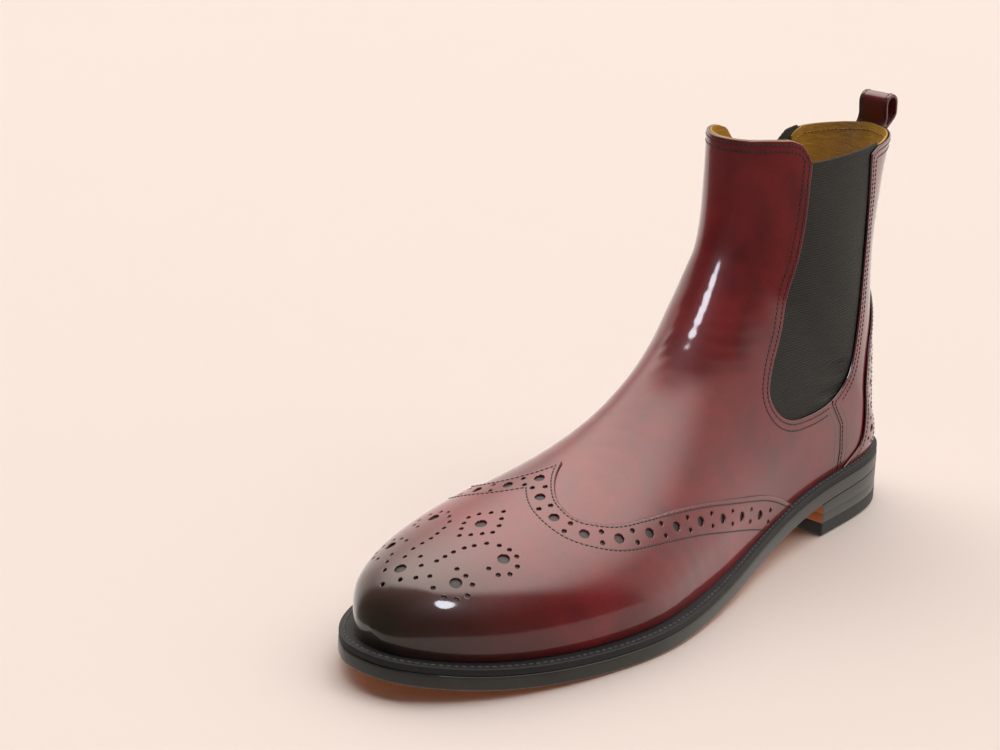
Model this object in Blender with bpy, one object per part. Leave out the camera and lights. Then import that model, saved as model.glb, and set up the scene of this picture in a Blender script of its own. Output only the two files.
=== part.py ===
# Chelsea boot with a winged brogue front, left foot, as an assembly of its separate pieces.
# +X runs to the toe, +Y to the outer side of the foot and +Z up. Metres.
# The origin is on the ground, under the middle of the boot's box.
import math

import bpy
import numpy as np

MM = 0.001

# Driving dimensions
FOOT_LENGTH = 300 * MM      # heel back to toe tip of the upper, at the welt
BALL_WIDTH = 92.5 * MM      # upper at the ball of the foot, at the welt
SHAFT_HEIGHT = 137.5 * MM   # heel seat to the back of the topline
FRONT_HEIGHT = 150.5 * MM   # heel seat to the front of the topline
HEEL_HEIGHT = 16 * MM       # ground to the outsole at the heel
HEEL_LENGTH = 66 * MM       # heel back to heel breast
TOE_SPRING = 7.5 * MM       # ground to the outsole at the toe tip
OUTSOLE_THICKNESS = 5.8 * MM
WELT_THICKNESS = 3.0 * MM
WELT_REACH = 7.0 * MM       # the welt stands out this far at the forefoot
SEAT_REACH = 3.5 * MM       # and this far round the heel
TOP_PIECE_THICKNESS = 5.5 * MM
INSOLE_THICKNESS = 2.5 * MM
SOCK_THICKNESS = 1.0 * MM
SHANK_WIDTH = 14 * MM
SHANK_THICKNESS = 1.4 * MM
LEATHER = 1.3 * MM          # vamp, quarters, wing cap and heel foxing
LINING = 1.0 * MM
STIFFENER = 1.0 * MM        # heel counter, and the elastic in the gores
SEAM_MARGIN = 8 * MM        # leather that laps over the edge of a gore
WING_LAP = 12 * MM          # the wing cap laps this far over the vamp
BACKSTAY_WIDTH = 13 * MM
FLEX_HEIGHT = 74.5 * MM     # heel seat to the line where the back of the shaft bends
LOOP_WIDTH = 14.5 * MM
LOOP_HEIGHT = 16.5 * MM     # above the topline
LOOP_DEPTH = 9.2 * MM       # outside, front leg to back leg
LOOP_STRAP = 1.5 * MM
LOOP_TAIL = 22 * MM         # sewn length of the loop below the topline
NAIL_DIAMETER = 2.4 * MM
NAIL_LENGTH = 8 * MM
NAIL_COUNT = 6
GAP = 0.3 * MM              # clearance between neighbouring pieces
LAYER_GAP = 0.4 * MM        # between the layers of the upper
FILLER_GAP = 1.2 * MM        # between the welt and what fills the space inside it
SNAP = 0.03 * MM            # a cut this close to a point goes through it

# Mesh fineness of the upper: rows from toe to topline, points from ridge to welt
ROWS = 30
HALF_COLUMNS = 9
TOE_ROWS = 1.6              # how much closer the rows lie at the toe tip

# The curves below are drawn on a last of this length, width and height
DRAWN_LENGTH = 300 * MM
DRAWN_WIDTH = 92.5 * MM
DRAWN_HEIGHT = 137.5 * MM
LENGTHEN = FOOT_LENGTH / DRAWN_LENGTH
WIDEN = BALL_WIDTH / DRAWN_WIDTH
RAISE = SHAFT_HEIGHT / DRAWN_HEIGHT

FEATHER = OUTSOLE_THICKNESS + WELT_THICKNESS + 2 * GAP   # outsole underside to the upper's edge


def spline(knots, values, at):
    """Natural cubic curve through the values, read at the given places."""
    knots = np.asarray(knots, float)
    values = np.asarray(values, float)
    at = np.asarray(at, float)
    count = len(knots)
    step = np.diff(knots)
    matrix = np.zeros((count, count))
    right = np.zeros_like(values)
    matrix[0, 0] = matrix[-1, -1] = 1.0
    for i in range(1, count - 1):
        matrix[i, i - 1] = step[i - 1]
        matrix[i, i] = 2 * (step[i - 1] + step[i])
        matrix[i, i + 1] = step[i]
        right[i] = 6 * ((values[i + 1] - values[i]) / step[i] - (values[i] - values[i - 1]) / step[i - 1])
    bend = np.linalg.solve(matrix, right)
    k = np.clip(np.searchsorted(knots, at, side="right") - 1, 0, count - 2)
    spread = (...,) + (None,) * (values.ndim - 1)
    run = (at - knots[k])[spread]
    span = step[k][spread]
    slope = (values[k + 1] - values[k]) / span - span * (2 * bend[k] + bend[k + 1]) / 6
    return values[k] + slope * run + bend[k] / 2 * run**2 + (bend[k + 1] - bend[k]) / (6 * span) * run**3


def smooth_path(points, count):
    """Smooth open curve through a few points, evenly read."""
    points = np.asarray(points, float)
    chord = np.sqrt(np.linalg.norm(np.diff(points, axis=0), axis=1))
    at = np.concatenate([[0.0], np.cumsum(chord)])
    return spline(at, points, np.linspace(0.0, at[-1], count))


def evened(points, count):
    """The same open line with its points at equal distances."""
    run = np.concatenate([[0.0], np.cumsum(np.linalg.norm(np.diff(points, axis=0), axis=1))])
    at = np.linspace(0.0, run[-1], count)
    return np.stack([np.interp(at, run, points[:, k]) for k in range(points.shape[1])], 1)


# The sole unit's side profile and outline

PROFILE_X = np.array([-8, 30, 70, 105, 145, 185, 215, 250, 280, 306]) * MM * LENGTHEN
PROFILE_Z = np.array([
    HEEL_HEIGHT + 0.6 * MM, HEEL_HEIGHT, HEEL_HEIGHT * 0.875, HEEL_HEIGHT * 0.544, HEEL_HEIGHT * 0.21,
    0.5 * MM, 0.0, TOE_SPRING * 0.16, TOE_SPRING * 0.5, TOE_SPRING])
OUTER_SIDE = [(0, 0), (2.2, 11), (9, 21.5), (22, 29), (42, 32.5), (75, 34.5), (110, 38.5), (145, 45.5),
              (175, 50.5), (200, 52), (225, 48.5), (250, 41.5), (272, 31), (288, 18.5), (297, 6), (298.5, -3)]
INNER_SIDE = [(0, 0), (2.2, -11), (9, -21), (22, -28), (42, -31), (75, -28.5), (110, -26.5), (145, -29.5),
              (175, -35.5), (200, -41), (225, -43.5), (250, -41), (272, -33.5), (288, -23), (297, -11.5),
              (298.5, -3)]
OUTLINE_SCALE = MM * np.array([LENGTHEN, WIDEN])
REACH_X = np.array([-10, 40, 90, 130, 180, 240, 310]) * MM * LENGTHEN
REACH_SHARE = np.array([0, 0, 0, 0.29, 0.86, 1, 1])      # share of the way from seat reach to welt reach


def sole_bottom(x):
    return spline(PROFILE_X, PROFILE_Z, x)


def feather(x):
    return sole_bottom(x) + FEATHER


def sole_reach(x):
    return SEAT_REACH + (WELT_REACH - SEAT_REACH) * spline(REACH_X, REACH_SHARE, x)


OUTER_LINE = smooth_path(np.array(OUTER_SIDE) * OUTLINE_SCALE, 800)
INNER_LINE = smooth_path(np.array(INNER_SIDE) * OUTLINE_SCALE, 800)
OUTLINE = np.concatenate([OUTER_LINE, INNER_LINE[-2:0:-1]])


def half_width(line, x):
    """Distance of an outline's side from the centre line, at x."""
    return np.interp(x, np.maximum.accumulate(line[:, 0]), np.abs(line[:, 1]))


def offset_outline(distance):
    """The closed outline moved outwards, as its outer and inner halves from heel to toe."""
    along = np.roll(OUTLINE, -1, 0) - np.roll(OUTLINE, 1, 0)
    along /= np.linalg.norm(along, axis=1)[:, None]
    outward = np.stack([-along[:, 1], along[:, 0]], 1)
    reach = distance(OUTLINE[:, 0]) if callable(distance) else np.full(len(OUTLINE), distance)
    moved = OUTLINE + outward * reach[:, None]
    count = len(OUTER_LINE)
    return moved[:count], np.concatenate([moved[:1], moved[:count - 2:-1]])


# The surface of the upper. Each row is a section that fans from a point on the ridge (the front
# centre line) down to the welt line, or to the back seam once the rows reach the heel.
# Columns: ridge x, ridge rise above the welt line, back x, back rise above the heel seat (or on the
# welt line), bulge outer, bulge inner, height share of the widest point, roundness above and below
# it, and how far the ridge lies off the centre line.
ON_WELT = math.nan
STATIONS = [
    (300, 8, 298.5, ON_WELT, 0.3, 0.3, .35, 2.2, 2.2, -3),
    (292, 22.2, 291, ON_WELT, 0.8, 0.8, .32, 2.2, 2.2, -2.5),
    (276, 30.7, 275, ON_WELT, 1.2, 1.2, .30, 2.2, 2.2, -2),
    (252, 38.2, 250, ON_WELT, 1.5, 1.5, .28, 2.1, 2.2, -1),
    (225, 45.4, 220, ON_WELT, 1.5, 1.8, .26, 2.0, 2.2, 0),
    (198, 52.8, 188, ON_WELT, 1.0, 1.5, .24, 1.9, 2.2, 1),
    (172, 62.3, 154, ON_WELT, 0.0, 0.5, .22, 1.85, 2.2, 1.5),
    (150, 73.7, 118, ON_WELT, 0.0, 1.0, .22, 1.85, 2.2, 1.5),
    (132, 86.5, 80, ON_WELT, 0.0, 1.5, .24, 1.9, 2.2, 1.5),
    (119, 100.7, 40, ON_WELT, 0.0, 1.0, .28, 1.95, 2.2, 1),
    (112, 109.7, 14, ON_WELT, -1.0, -0.5, .33, 2.0, 2.1, 0.5),
    (108.5, 115.7, 0, 0, -1.5, -1.5, .37, 2.0, 2.0, 0),
    (105.5, 123.8, -2.2, 20, -3.0, -3.0, .42, 2.05, 2.0, 0),
    (103.7, 130.5, -1.2, 46, -4.0, -4.0, .45, 2.1, 2.0, 0),
    (102.5, 138.3, 1.0, 74, -4.5, -4.5, .47, 2.15, 2.0, 0),
    (102, 146.2, -1.5, 102, -5.0, -5.0, .49, 2.2, 2.0, 0),
    (102, 155.2, -7.5, 130, -5.0, -5.0, .50, 2.2, 2.0, 0),
    (102, 165.2, -15.5, 156, -4.0, -4.0, .50, 2.2, 2.0, 0),
]
HEEL_STATION = 11            # the first row that ends on the back seam
SHOULDER = 0.62              # share of a half row above its widest point
HEEL_CORNER = 46 * MM        # the shaft keeps the outline's width from here back
STRAIGHT_FROM = 120 * MM


def station_table():
    table = np.array(STATIONS, float)
    scale = np.array([MM * LENGTHEN, MM * RAISE, MM * LENGTHEN, MM * RAISE, MM, MM, 1, 1, 1, MM * WIDEN])
    table = table * scale
    table[:, 1] += feather(table[:, 0])
    on_welt = np.isnan(table[:, 3])
    table[:, 3] += feather(0.0)
    table[on_welt, 3] = feather(table[on_welt, 2])
    return table


def section(place, table, count=81):
    """One row of the upper: its outer and inner halves, each from the ridge down."""
    row = spline(np.arange(len(table)), table, place)
    ridge_x, ridge_z, back_x, back_z, bulge_out, bulge_in, widest, above, below, centre = row
    on_welt = place < HEEL_STATION
    if on_welt:
        back_x = max(back_x, 0.0)
        back_z = float(feather(back_x))
    width_x = HEEL_CORNER + 10 * MM * math.log1p(math.exp((back_x - HEEL_CORNER) / (10 * MM)))
    if back_x > STRAIGHT_FROM:
        width_x = back_x
    at = np.linspace(0.0, 1.0, count)
    over = at <= SHOULDER
    high = np.clip(at / SHOULDER, 0, 1) * math.pi / 2
    low = np.clip((at - SHOULDER) / (1 - SHOULDER), 0, 1) * math.pi / 2
    halves = []
    for side, line, bulge in ((1, OUTER_LINE, bulge_out), (-1, INNER_LINE, bulge_in)):
        foot = half_width(line, back_x) - side * centre if on_welt else 0.0
        wide = max(half_width(line, width_x) + bulge - side * centre, foot)
        share = np.where(over, widest + (1 - widest) * np.cos(high) ** (2 / above),
                         widest * (1 - np.sin(low) ** (2 / below)))
        across = np.where(over, wide * np.sin(high) ** (2 / above),
                          foot + (wide - foot) * np.cos(low) ** (2 / below))
        share[-1] = 0.0
        across[-1] = foot
        halves.append(np.stack([back_x + share * (ridge_x - back_x), centre + side * across,
                                back_z + share * (ridge_z - back_z)], 1))
    return halves


def upper_surface():
    """Points, normals, ridge distances and triangles of the upper, closed at toe and back seam.

    A normal is longer where the surface bends, so that a layer keeps its thickness round a corner.
    """
    table = station_table()
    places = np.linspace(0, len(table) - 1, 240)
    marks = []
    for place in places:
        outer, inner = section(place, table, 21)
        marks.append([outer[0], outer[10], outer[-1], inner[10], inner[-1]])
    moves = np.linalg.norm(np.diff(np.array(marks), axis=0), axis=2).max(1)
    moves *= 1 + TOE_ROWS * np.exp(-places[:-1])
    run = np.concatenate([[0.0], np.cumsum(moves)])
    rows = np.interp(np.linspace(0, run[-1], ROWS), run, places)
    columns = 2 * HALF_COLUMNS - 1
    grid = np.zeros((ROWS, columns, 3))
    for i, place in enumerate(rows):
        outer, inner = (evened(half, HALF_COLUMNS) for half in section(place, table))
        grid[i] = np.concatenate([outer[::-1], inner[1:]])
    index = np.arange(ROWS * columns).reshape(ROWS, columns)
    for j in range(HALF_COLUMNS - 1):
        index[0, columns - 1 - j] = index[0, j]
        grid[0, j] = grid[0, columns - 1 - j] = (grid[0, j] + grid[0, columns - 1 - j]) / 2
    closed = rows >= HEEL_STATION
    index[closed, -1] = index[closed, 0]
    leap = np.linalg.norm(np.diff(grid, axis=1), axis=2)
    down = np.concatenate([np.zeros((ROWS, 1)), np.cumsum(leap, axis=1)], 1)
    ridge_run = down[:, HALF_COLUMNS - 1:HALF_COLUMNS] - down
    triangles = []
    for i in range(ROWS - 1):
        for j in range(columns - 1):
            a, b, c, d = index[i, j], index[i, j + 1], index[i + 1, j + 1], index[i + 1, j]
            leans_down = (j < HALF_COLUMNS - 1) == (i > 0)      # the toe row is closed, so it leans away
            corners = ((a, b, c), (a, c, d)) if leans_down else ((a, b, d), (b, c, d))
            triangles += [t for t in corners if len(set(t)) == 3]
    triangles = np.array(triangles)
    points = grid.reshape(-1, 3)
    cross = np.cross(points[triangles[:, 1]] - points[triangles[:, 0]],
                     points[triangles[:, 2]] - points[triangles[:, 0]])
    normals = np.zeros_like(points)
    for k in range(3):
        np.add.at(normals, triangles[:, k], cross)
    if (normals[:, 1] * points[:, 1]).sum() < 0:
        normals = -normals
        triangles = triangles[:, ::-1]
    size = np.linalg.norm(normals, axis=1)
    size[size == 0] = 1.0
    normals /= size[:, None]
    foot = index[~closed][:, [0, -1]].ravel()
    normals[foot, 2] = 0.0                              # the layers end level, clear of the welt
    normals[foot] /= np.linalg.norm(normals[foot], axis=1)[:, None]
    facing = cross / np.linalg.norm(cross, axis=1)[:, None]
    facing *= np.sign((facing * normals[triangles[:, 0]]).sum(1))[:, None]
    lean = np.zeros(len(points))
    touching = np.zeros(len(points))
    for k in range(3):
        np.add.at(lean, triangles[:, k], (facing * normals[triangles[:, k]]).sum(1))
        np.add.at(touching, triangles[:, k], 1)
    lean = np.clip(lean / np.maximum(touching, 1), 0.6, 1.0)
    return points, normals / lean[:, None], ridge_run.reshape(-1), triangles


# Lines on the upper. Each is a field over the surface, in metres, that is zero on the line.

SEAT = float(feather(0.0))
TOP_BACK = SEAT + SHAFT_HEIGHT
TOP_FRONT = SEAT + FRONT_HEIGHT
FLEX = SEAT + FLEX_HEIGHT

# Gore opening in side view, x and rise above the heel seat, open at the top
GORE = [(69, 175), (72.5, 140), (73.6, 127), (74.8, 115), (77, 101), (82, 87), (88.5, 70), (94.5, 60), (99, 51),
        (100, 45.5), (97.8, 40), (93.5, 35.5), (86.7, 32.2), (78, 31), (67, 31), (56, 32.8), (47.5, 37),
        (41, 44.5), (36, 56), (32, 71), (29, 88), (27.5, 106), (28, 121), (30.5, 139), (33, 175)]
# Side seam below the gore: rise above the heel seat, x
SEAM = [(-12, 56), (-2, 50.5), (8, 49), (20, 49.5), (31, 56.5), (60, 62), (100, 56), (180, 52)]
# Top edge of the front panel in side view: x, fall below its highest level
FRONT_EDGE = [(60, 40), (70, 19), (72.5, 13), (75, 7.5), (79, 2.6), (84, 0.6), (92, 0), (104, 0)]
# Rear edge of the wing cap: x, distance from the ridge over the surface
WING = [(199, 0), (203, 5.5), (210, 10.2), (216, 14.7), (218.8, 20.2), (218.6, 26.4), (214, 32.4), (207, 37.5),
        (196.5, 41.2), (184.5, 44.6), (165.5, 51), (143.5, 61.5), (115, 79), (97.4, 93.6), (80, 112)]
# Edge of the heel foxing: distance round from the back seam, rise above the heel seat
FOXING = [(0, 73.5), (10, 71.5), (20, 65.5), (28, 57), (34.5, 48), (39.5, 39), (42.3, 30), (43, 21), (43, 13),
          (45, 6), (51, 2), (58, -2), (66, -8)]


def scaled(points, x_scale, y_scale):
    return np.array(points, float) * MM * np.array([x_scale, y_scale])


def signed_distance(line, u, v, closed_side):
    """Distance of each point (u, v) to a line, positive on the side that closed_side(u, v) tells."""
    start, end = line[:-1], line[1:]
    run = end - start
    length = (run**2).sum(1)
    there = np.stack([u, v], 1)[:, None, :] - start[None]
    share = np.clip((there * run).sum(2) / length, 0, 1)
    nearest = there - share[..., None] * run
    distance = np.sqrt((nearest**2).sum(2)).min(1)
    return np.where(closed_side, distance, -distance)


def inside_polygon(polygon, u, v):
    """True for each point (u, v) inside a closed polygon."""
    hit = np.zeros(len(u), bool)
    for (u0, v0), (u1, v1) in zip(polygon, np.roll(polygon, -1, 0)):
        if v0 == v1:
            continue
        crosses = (v0 > v) != (v1 > v)
        hit ^= crosses & (u < u0 + (v - v0) * (u1 - u0) / (v1 - v0))
    return hit


def upper_fields(points, ridge_run):
    """Every line's field at the surface's points, by name."""
    x, y, z = points.T
    rise = z - SEAT
    gore = smooth_path(scaled(GORE, LENGTHEN, RAISE), 160)
    seam = scaled(SEAM, RAISE, LENGTHEN)
    edge = scaled(FRONT_EDGE, LENGTHEN, 1)
    wing_half = smooth_path(scaled(WING, LENGTHEN, WIDEN), 120)
    across = np.abs(ridge_run)
    wing_x = np.interp(across, wing_half[:, 1], wing_half[:, 0])
    table = station_table()
    back_rows = table[HEEL_STATION:]
    back_x = np.interp(z, back_rows[:, 3], back_rows[:, 2])
    around = np.hypot(x - back_x, y)
    foxing = smooth_path(scaled(FOXING, 1, RAISE), 120)
    foxing_region = np.concatenate([foxing, [[0.0, -60 * MM]]])
    return {
        "x": x,
        "y": y,
        "z": z,
        "gore": signed_distance(gore, x, rise, inside_polygon(gore, x, rise)),
        "front": x - np.interp(rise, seam[:, 0], seam[:, 1]),
        "front_top": TOP_FRONT - np.interp(x, edge[:, 0], edge[:, 1]) - z,
        "back_top": TOP_BACK - z,
        "wing": signed_distance(wing_half, x, across, x > wing_x),
        "foxing": signed_distance(foxing, around, rise, inside_polygon(foxing_region, around, rise)),
        "counter": 41 * MM * RAISE - 0.3 * x - rise,
    }


class Sheet:
    """A triangle sheet whose points carry their place, normal and fields, so that cuts share edges."""

    def __init__(self, table, names, triangles):
        self.table = table
        self.names = names
        self.triangles = triangles

    def keep(self, name, above=None, below=None):
        """The part of the sheet where a field is above or below a level."""
        column = self.names.index(name)
        level, sign = (above, 1) if above is not None else (below, -1)
        value = sign * (self.table[:, column] - level)
        value[np.abs(value) < SNAP] = 0.0
        table = list(self.table)
        cuts = {}

        def cut(a, b):
            key = (min(a, b), max(a, b))
            if key not in cuts:
                share = value[key[0]] / (value[key[0]] - value[key[1]])
                cuts[key] = len(table)
                table.append(table[key[0]] * (1 - share) + table[key[1]] * share)
            return cuts[key]

        triangles = []
        for corners in self.triangles:
            polygon = []
            for k in range(3):
                a, b = int(corners[k]), int(corners[(k + 1) % 3])
                if value[a] >= 0:
                    polygon.append(a)
                if (value[a] > 0 > value[b]) or (value[a] < 0 < value[b]):
                    polygon.append(cut(a, b))
            if all(value[int(c)] <= 0 for c in corners):
                continue
            triangles += [(polygon[0], polygon[k], polygon[k + 1]) for k in range(1, len(polygon) - 1)]
        return Sheet(np.array(table), self.names, np.array(triangles))

    def solid(self, inner, outer):
        """Closed body between two distances from the surface."""
        used = np.unique(self.triangles)
        new = np.full(len(self.table), -1)
        new[used] = np.arange(len(used))
        triangles = new[self.triangles]
        place, normal = self.table[used, :3], self.table[used, 3:6]
        count = len(used)
        edges = {}
        for a, b, c in triangles:
            for edge in ((a, b), (b, c), (c, a)):
                edges[edge] = edges.get(edge, 0) + 1
        rim = [(a, b) for a, b in edges if (b, a) not in edges]
        faces = [tuple(t) for t in triangles]
        faces += [(c + count, b + count, a + count) for a, b, c in triangles]
        faces += [(b, a, a + count, b + count) for a, b in rim]
        return np.concatenate([place + outer * normal, place + inner * normal]), faces


def upper_sheet():
    points, normals, ridge_run, triangles = upper_surface()
    fields = upper_fields(points, ridge_run)
    names = ["px", "py", "pz", "nx", "ny", "nz"] + list(fields)
    return Sheet(np.column_stack([points, normals] + list(fields.values())), names, triangles)


# Layers of the upper, as distances from its surface. The vamp and quarters lie just under it, and
# the wing cap, foxing and backstay just over it.
LIFT = 0.8 * MM
OVERLAY = (LIFT - LEATHER, LIFT)
SHELL = (OVERLAY[0] - LAYER_GAP - LEATHER, OVERLAY[0] - LAYER_GAP)
MIDDLE = (SHELL[0] - LAYER_GAP - STIFFENER, SHELL[0] - LAYER_GAP)
INSIDE = (MIDDLE[0] - LAYER_GAP - LINING, MIDDLE[0] - LAYER_GAP)
PUFF = (MIDDLE[0], SHELL[1])
WALL = OVERLAY[1] - INSIDE[0]

COLOURS = {
    "oxblood": ((0.13, 0.006, 0.012), 0.25, 0.0),
    "tan_lining": ((0.55, 0.30, 0.06), 0.6, 0.0),
    "elastic": ((0.035, 0.036, 0.032), 0.9, 0.0),
    "stiff_board": ((0.45, 0.33, 0.2), 0.8, 0.0),
    "cork": ((0.35, 0.2, 0.1), 0.95, 0.0),
    "black_edge": ((0.012, 0.012, 0.012), 0.4, 0.0),
    "sole_leather": ((0.5, 0.2, 0.06), 0.5, 0.0),
    "rubber": ((0.02, 0.02, 0.02), 0.7, 0.0),
    "steel": ((0.6, 0.6, 0.6), 0.3, 1.0),
}
PIECES = {}


def volume(points, faces):
    total = 0.0
    for face in faces:
        a = points[face[0]]
        for k in range(1, len(face) - 1):
            total += np.dot(a, np.cross(points[face[k]], points[face[k + 1]])) / 6
    return total


def add_piece(name, colour, points, faces):
    """Record a piece, with its faces turned outwards."""
    points = np.asarray(points, float)
    if volume(points, faces) < 0:
        faces = [tuple(face)[::-1] for face in faces]
    PIECES[name] = (colour, points, faces)


def add_upper(name, colour, sheet, layer):
    add_piece(name, colour, *sheet.solid(*layer))


def make_upper():
    sheet = upper_sheet()
    half = GAP / 2
    front = sheet.keep("front", above=half).keep("gore", below=0.0).keep("front_top", above=0.0)
    rear = sheet.keep("front", below=-half).keep("gore", below=0.0).keep("back_top", above=0.0)
    low = rear.keep("z", below=FLEX - half)
    high = rear.keep("z", above=FLEX + half)
    add_upper("vamp", "oxblood", front.keep("wing", below=WING_LAP), SHELL)
    add_upper("wingtip", "oxblood", sheet.keep("wing", above=0.0), OVERLAY)
    add_upper("toe_puff", "stiff_board", sheet.keep("wing", above=WING_LAP + GAP), PUFF)
    add_upper("vamp_lining", "tan_lining", front, INSIDE)
    add_upper("quarter_lining_lower", "tan_lining", low, INSIDE)
    add_upper("quarter_lining_upper", "tan_lining", high, INSIDE)
    fox = sheet.keep("foxing", above=0.0).keep("z", below=FLEX - half)
    add_upper("heel_foxing", "oxblood", fox, OVERLAY)
    counter = rear.keep("gore", below=-SEAM_MARGIN - GAP).keep("counter", above=0.0)
    add_upper("heel_counter", "stiff_board", counter, MIDDLE)
    stay = high.keep("y", above=-BACKSTAY_WIDTH / 2).keep("y", below=BACKSTAY_WIDTH / 2)
    add_upper("backstay", "oxblood", stay.keep("x", below=HEEL_CORNER), OVERLAY)
    for side, sign in (("outer", 1), ("inner", -1)):
        level = {"above": half} if sign > 0 else {"below": -half}
        add_upper("quarter_lower_" + side, "oxblood", low.keep("y", **level), SHELL)
        add_upper("quarter_upper_" + side, "oxblood", high.keep("y", **level), SHELL)
        gore = sheet.keep("gore", above=-SEAM_MARGIN).keep("y", **level)
        add_upper("gore_" + side, "elastic", gore.keep("back_top", above=-1.5 * MM), MIDDLE)
    make_loop(high)


# The pull loop: a strap that comes up from between the lining and the quarters, arches over and
# goes down outside the backstay. Its free arch bends at the topline.

def back_at(z):
    table = station_table()[HEEL_STATION:]
    return float(spline(table[:, 3], table[:, 2], z))


LOOP_CLEAR = 1.2 * MM                 # the arch starts this far above the topline
LOOP_SWING = math.radians(20)         # how far the arch leans back
LOOP_TAIL_LAYER = (OVERLAY[1] + LAYER_GAP, OVERLAY[1] + LAYER_GAP + LOOP_STRAP)
LOOP_FRONT = back_at(TOP_BACK) - SHELL[1] + LOOP_STRAP / 2            # middle of the front leg
LOOP_FOOT = back_at(TOP_BACK) - sum(LOOP_TAIL_LAYER) / 2              # middle of the back leg, at its foot
LOOP_BACK = LOOP_FRONT - LOOP_DEPTH + LOOP_STRAP                      # and where the loop is deepest
LOOP_START = TOP_BACK + LOOP_CLEAR


def ribbon(path, thickness, width):
    """Strap of even thickness that follows a path in the XZ plane, closed at both ends."""
    path = np.asarray(path, float)
    along = np.gradient(path, axis=0)
    along /= np.linalg.norm(along, axis=1)[:, None]
    out = np.stack([-along[:, 1], along[:, 0]], 1) * thickness / 2
    points, faces = [], []
    for place, shift in zip(path, out):
        for x, z, y in ((*(place - shift), -width / 2), (*(place + shift), -width / 2),
                        (*(place + shift), width / 2), (*(place - shift), width / 2)):
            points.append((x, y, z))
    for i in range(len(path) - 1):
        for k in range(4):
            a, b = 4 * i + k, 4 * i + (k + 1) % 4
            faces.append((a, b, b + 4, a + 4))
    last = 4 * (len(path) - 1)
    faces += [(3, 2, 1, 0), (last, last + 1, last + 2, last + 3)]
    return np.array(points), faces


def make_loop(shaft):
    radius = (LOOP_FRONT - LOOP_BACK) / 2
    crown = TOP_BACK + LOOP_HEIGHT - LOOP_STRAP / 2 - radius
    path = [(LOOP_FRONT, z) for z in np.linspace(LOOP_START, crown, 4)[:-1]]
    path += [(LOOP_FRONT - radius + radius * math.cos(a), crown + radius * math.sin(a))
             for a in np.linspace(0, math.pi, 11)]
    for share in np.linspace(1, 0, 7)[1:]:
        ease = math.sin(min(1.6 * share, 1.0) * math.pi / 2)
        path.append((LOOP_FOOT + (LOOP_BACK - LOOP_FOOT) * ease, LOOP_START + (crown - LOOP_START) * share))
    add_piece("pull_loop", "oxblood", *ribbon(path, LOOP_STRAP, LOOP_WIDTH))
    reach = LOOP_FRONT - LOOP_FOOT + LOOP_STRAP
    tail_top = LOOP_START - reach * math.sin(LOOP_SWING) - GAP
    tail = shaft.keep("x", below=HEEL_CORNER).keep("z", above=TOP_BACK - LOOP_TAIL)
    for name, layer, half, top in (("loop_tail_outer", LOOP_TAIL_LAYER, LOOP_WIDTH / 2, tail_top),
                                   ("loop_tail_inner", MIDDLE, LOOP_WIDTH / 2 - 2 * MM, TOP_BACK - GAP)):
        strap = tail.keep("z", below=top).keep("y", above=-half).keep("y", below=half)
        add_upper(name, "oxblood", strap, layer)


# Sole unit

SEAT_INSET = WALL + 0.9 * MM          # the insole stays inside the lining


def rungs(distance, start, end, count, round_end=True):
    """Pairs of points on both sides of an offset outline, from heel to toe."""
    outer, inner = offset_outline(distance)
    first = max(outer[:, 0].min(), inner[:, 0].min()) if start is None else start
    last = min(outer[:, 0].max(), inner[:, 0].max()) if end is None else end
    share = np.linspace(0, 1, count)
    if start is None and end is None:
        share = (1 - np.cos(share * math.pi)) / 2
    elif start is None:
        share = 1 - np.cos(share * math.pi / 2)
    elif end is None:
        share = np.sin(share * math.pi / 2)
    at = first + (last - first) * share
    sides = []
    for line in (outer, inner):
        order = np.maximum.accumulate(line[:, 0])
        sides.append(np.interp(at, order, line[:, 1]))
    return at, sides[0], sides[1], start is None, end is None


def add_plate(name, colour, strip, bottom, top):
    """Plate across the sole between two heights that follow x. Round ends close to a line."""
    at, outer, inner, round_start, round_end = strip
    points, faces, columns = [], [], []
    for i, x in enumerate(at):
        low, high = float(bottom(x)), float(top(x))
        pointed = (i == 0 and round_start) or (i == len(at) - 1 and round_end)
        sides = [(outer[i] + inner[i]) / 2] if pointed else [outer[i], inner[i]]
        first = len(points)
        for y in sides:
            points += [(x, y, low), (x, y, high)]
        columns.append((first, first + 2 * (len(sides) - 1)))
    for (a, b), (c, d) in zip(columns[:-1], columns[1:]):
        faces.append((a + 1, a, c, c + 1))
        faces.append((b, b + 1, d + 1, d))
        for ring in ((a, b, d, c), (a + 1, c + 1, d + 1, b + 1)):
            faces.append(tuple(dict.fromkeys(ring)))
    a, b = columns[0]
    if a != b:
        faces.append((a, a + 1, b + 1, b))
    a, b = columns[-1]
    if a != b:
        faces.append((a + 1, a, b, b + 1))
    add_piece(name, colour, points, faces)


def add_ring(name, colour, outer_reach, inner_reach, bottom, top, count=34):
    """Flat band round the whole outline, following the sole's profile."""
    loops = []
    for reach in (outer_reach, inner_reach):
        outer, inner = offset_outline(reach)
        outer, inner = evened(outer, count), evened(inner, count)
        loops.append(np.concatenate([outer, inner[-2:0:-1]]))
    total = len(loops[0])
    points = []
    for k in range(total):
        for loop, height in ((0, bottom), (0, top), (1, top), (1, bottom)):
            x, y = loops[loop][k]
            points.append((x, y, float(height(x))))
    faces = []
    for k in range(total):
        here, there = 4 * k, 4 * ((k + 1) % total)
        for a in range(4):
            b = (a + 1) % 4
            faces.append((here + a, here + b, there + b, there + a))
    add_piece(name, colour, points, faces)


def above_sole(rise):
    return lambda x: sole_bottom(x) + rise


def level(height):
    return lambda x: height


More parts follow.
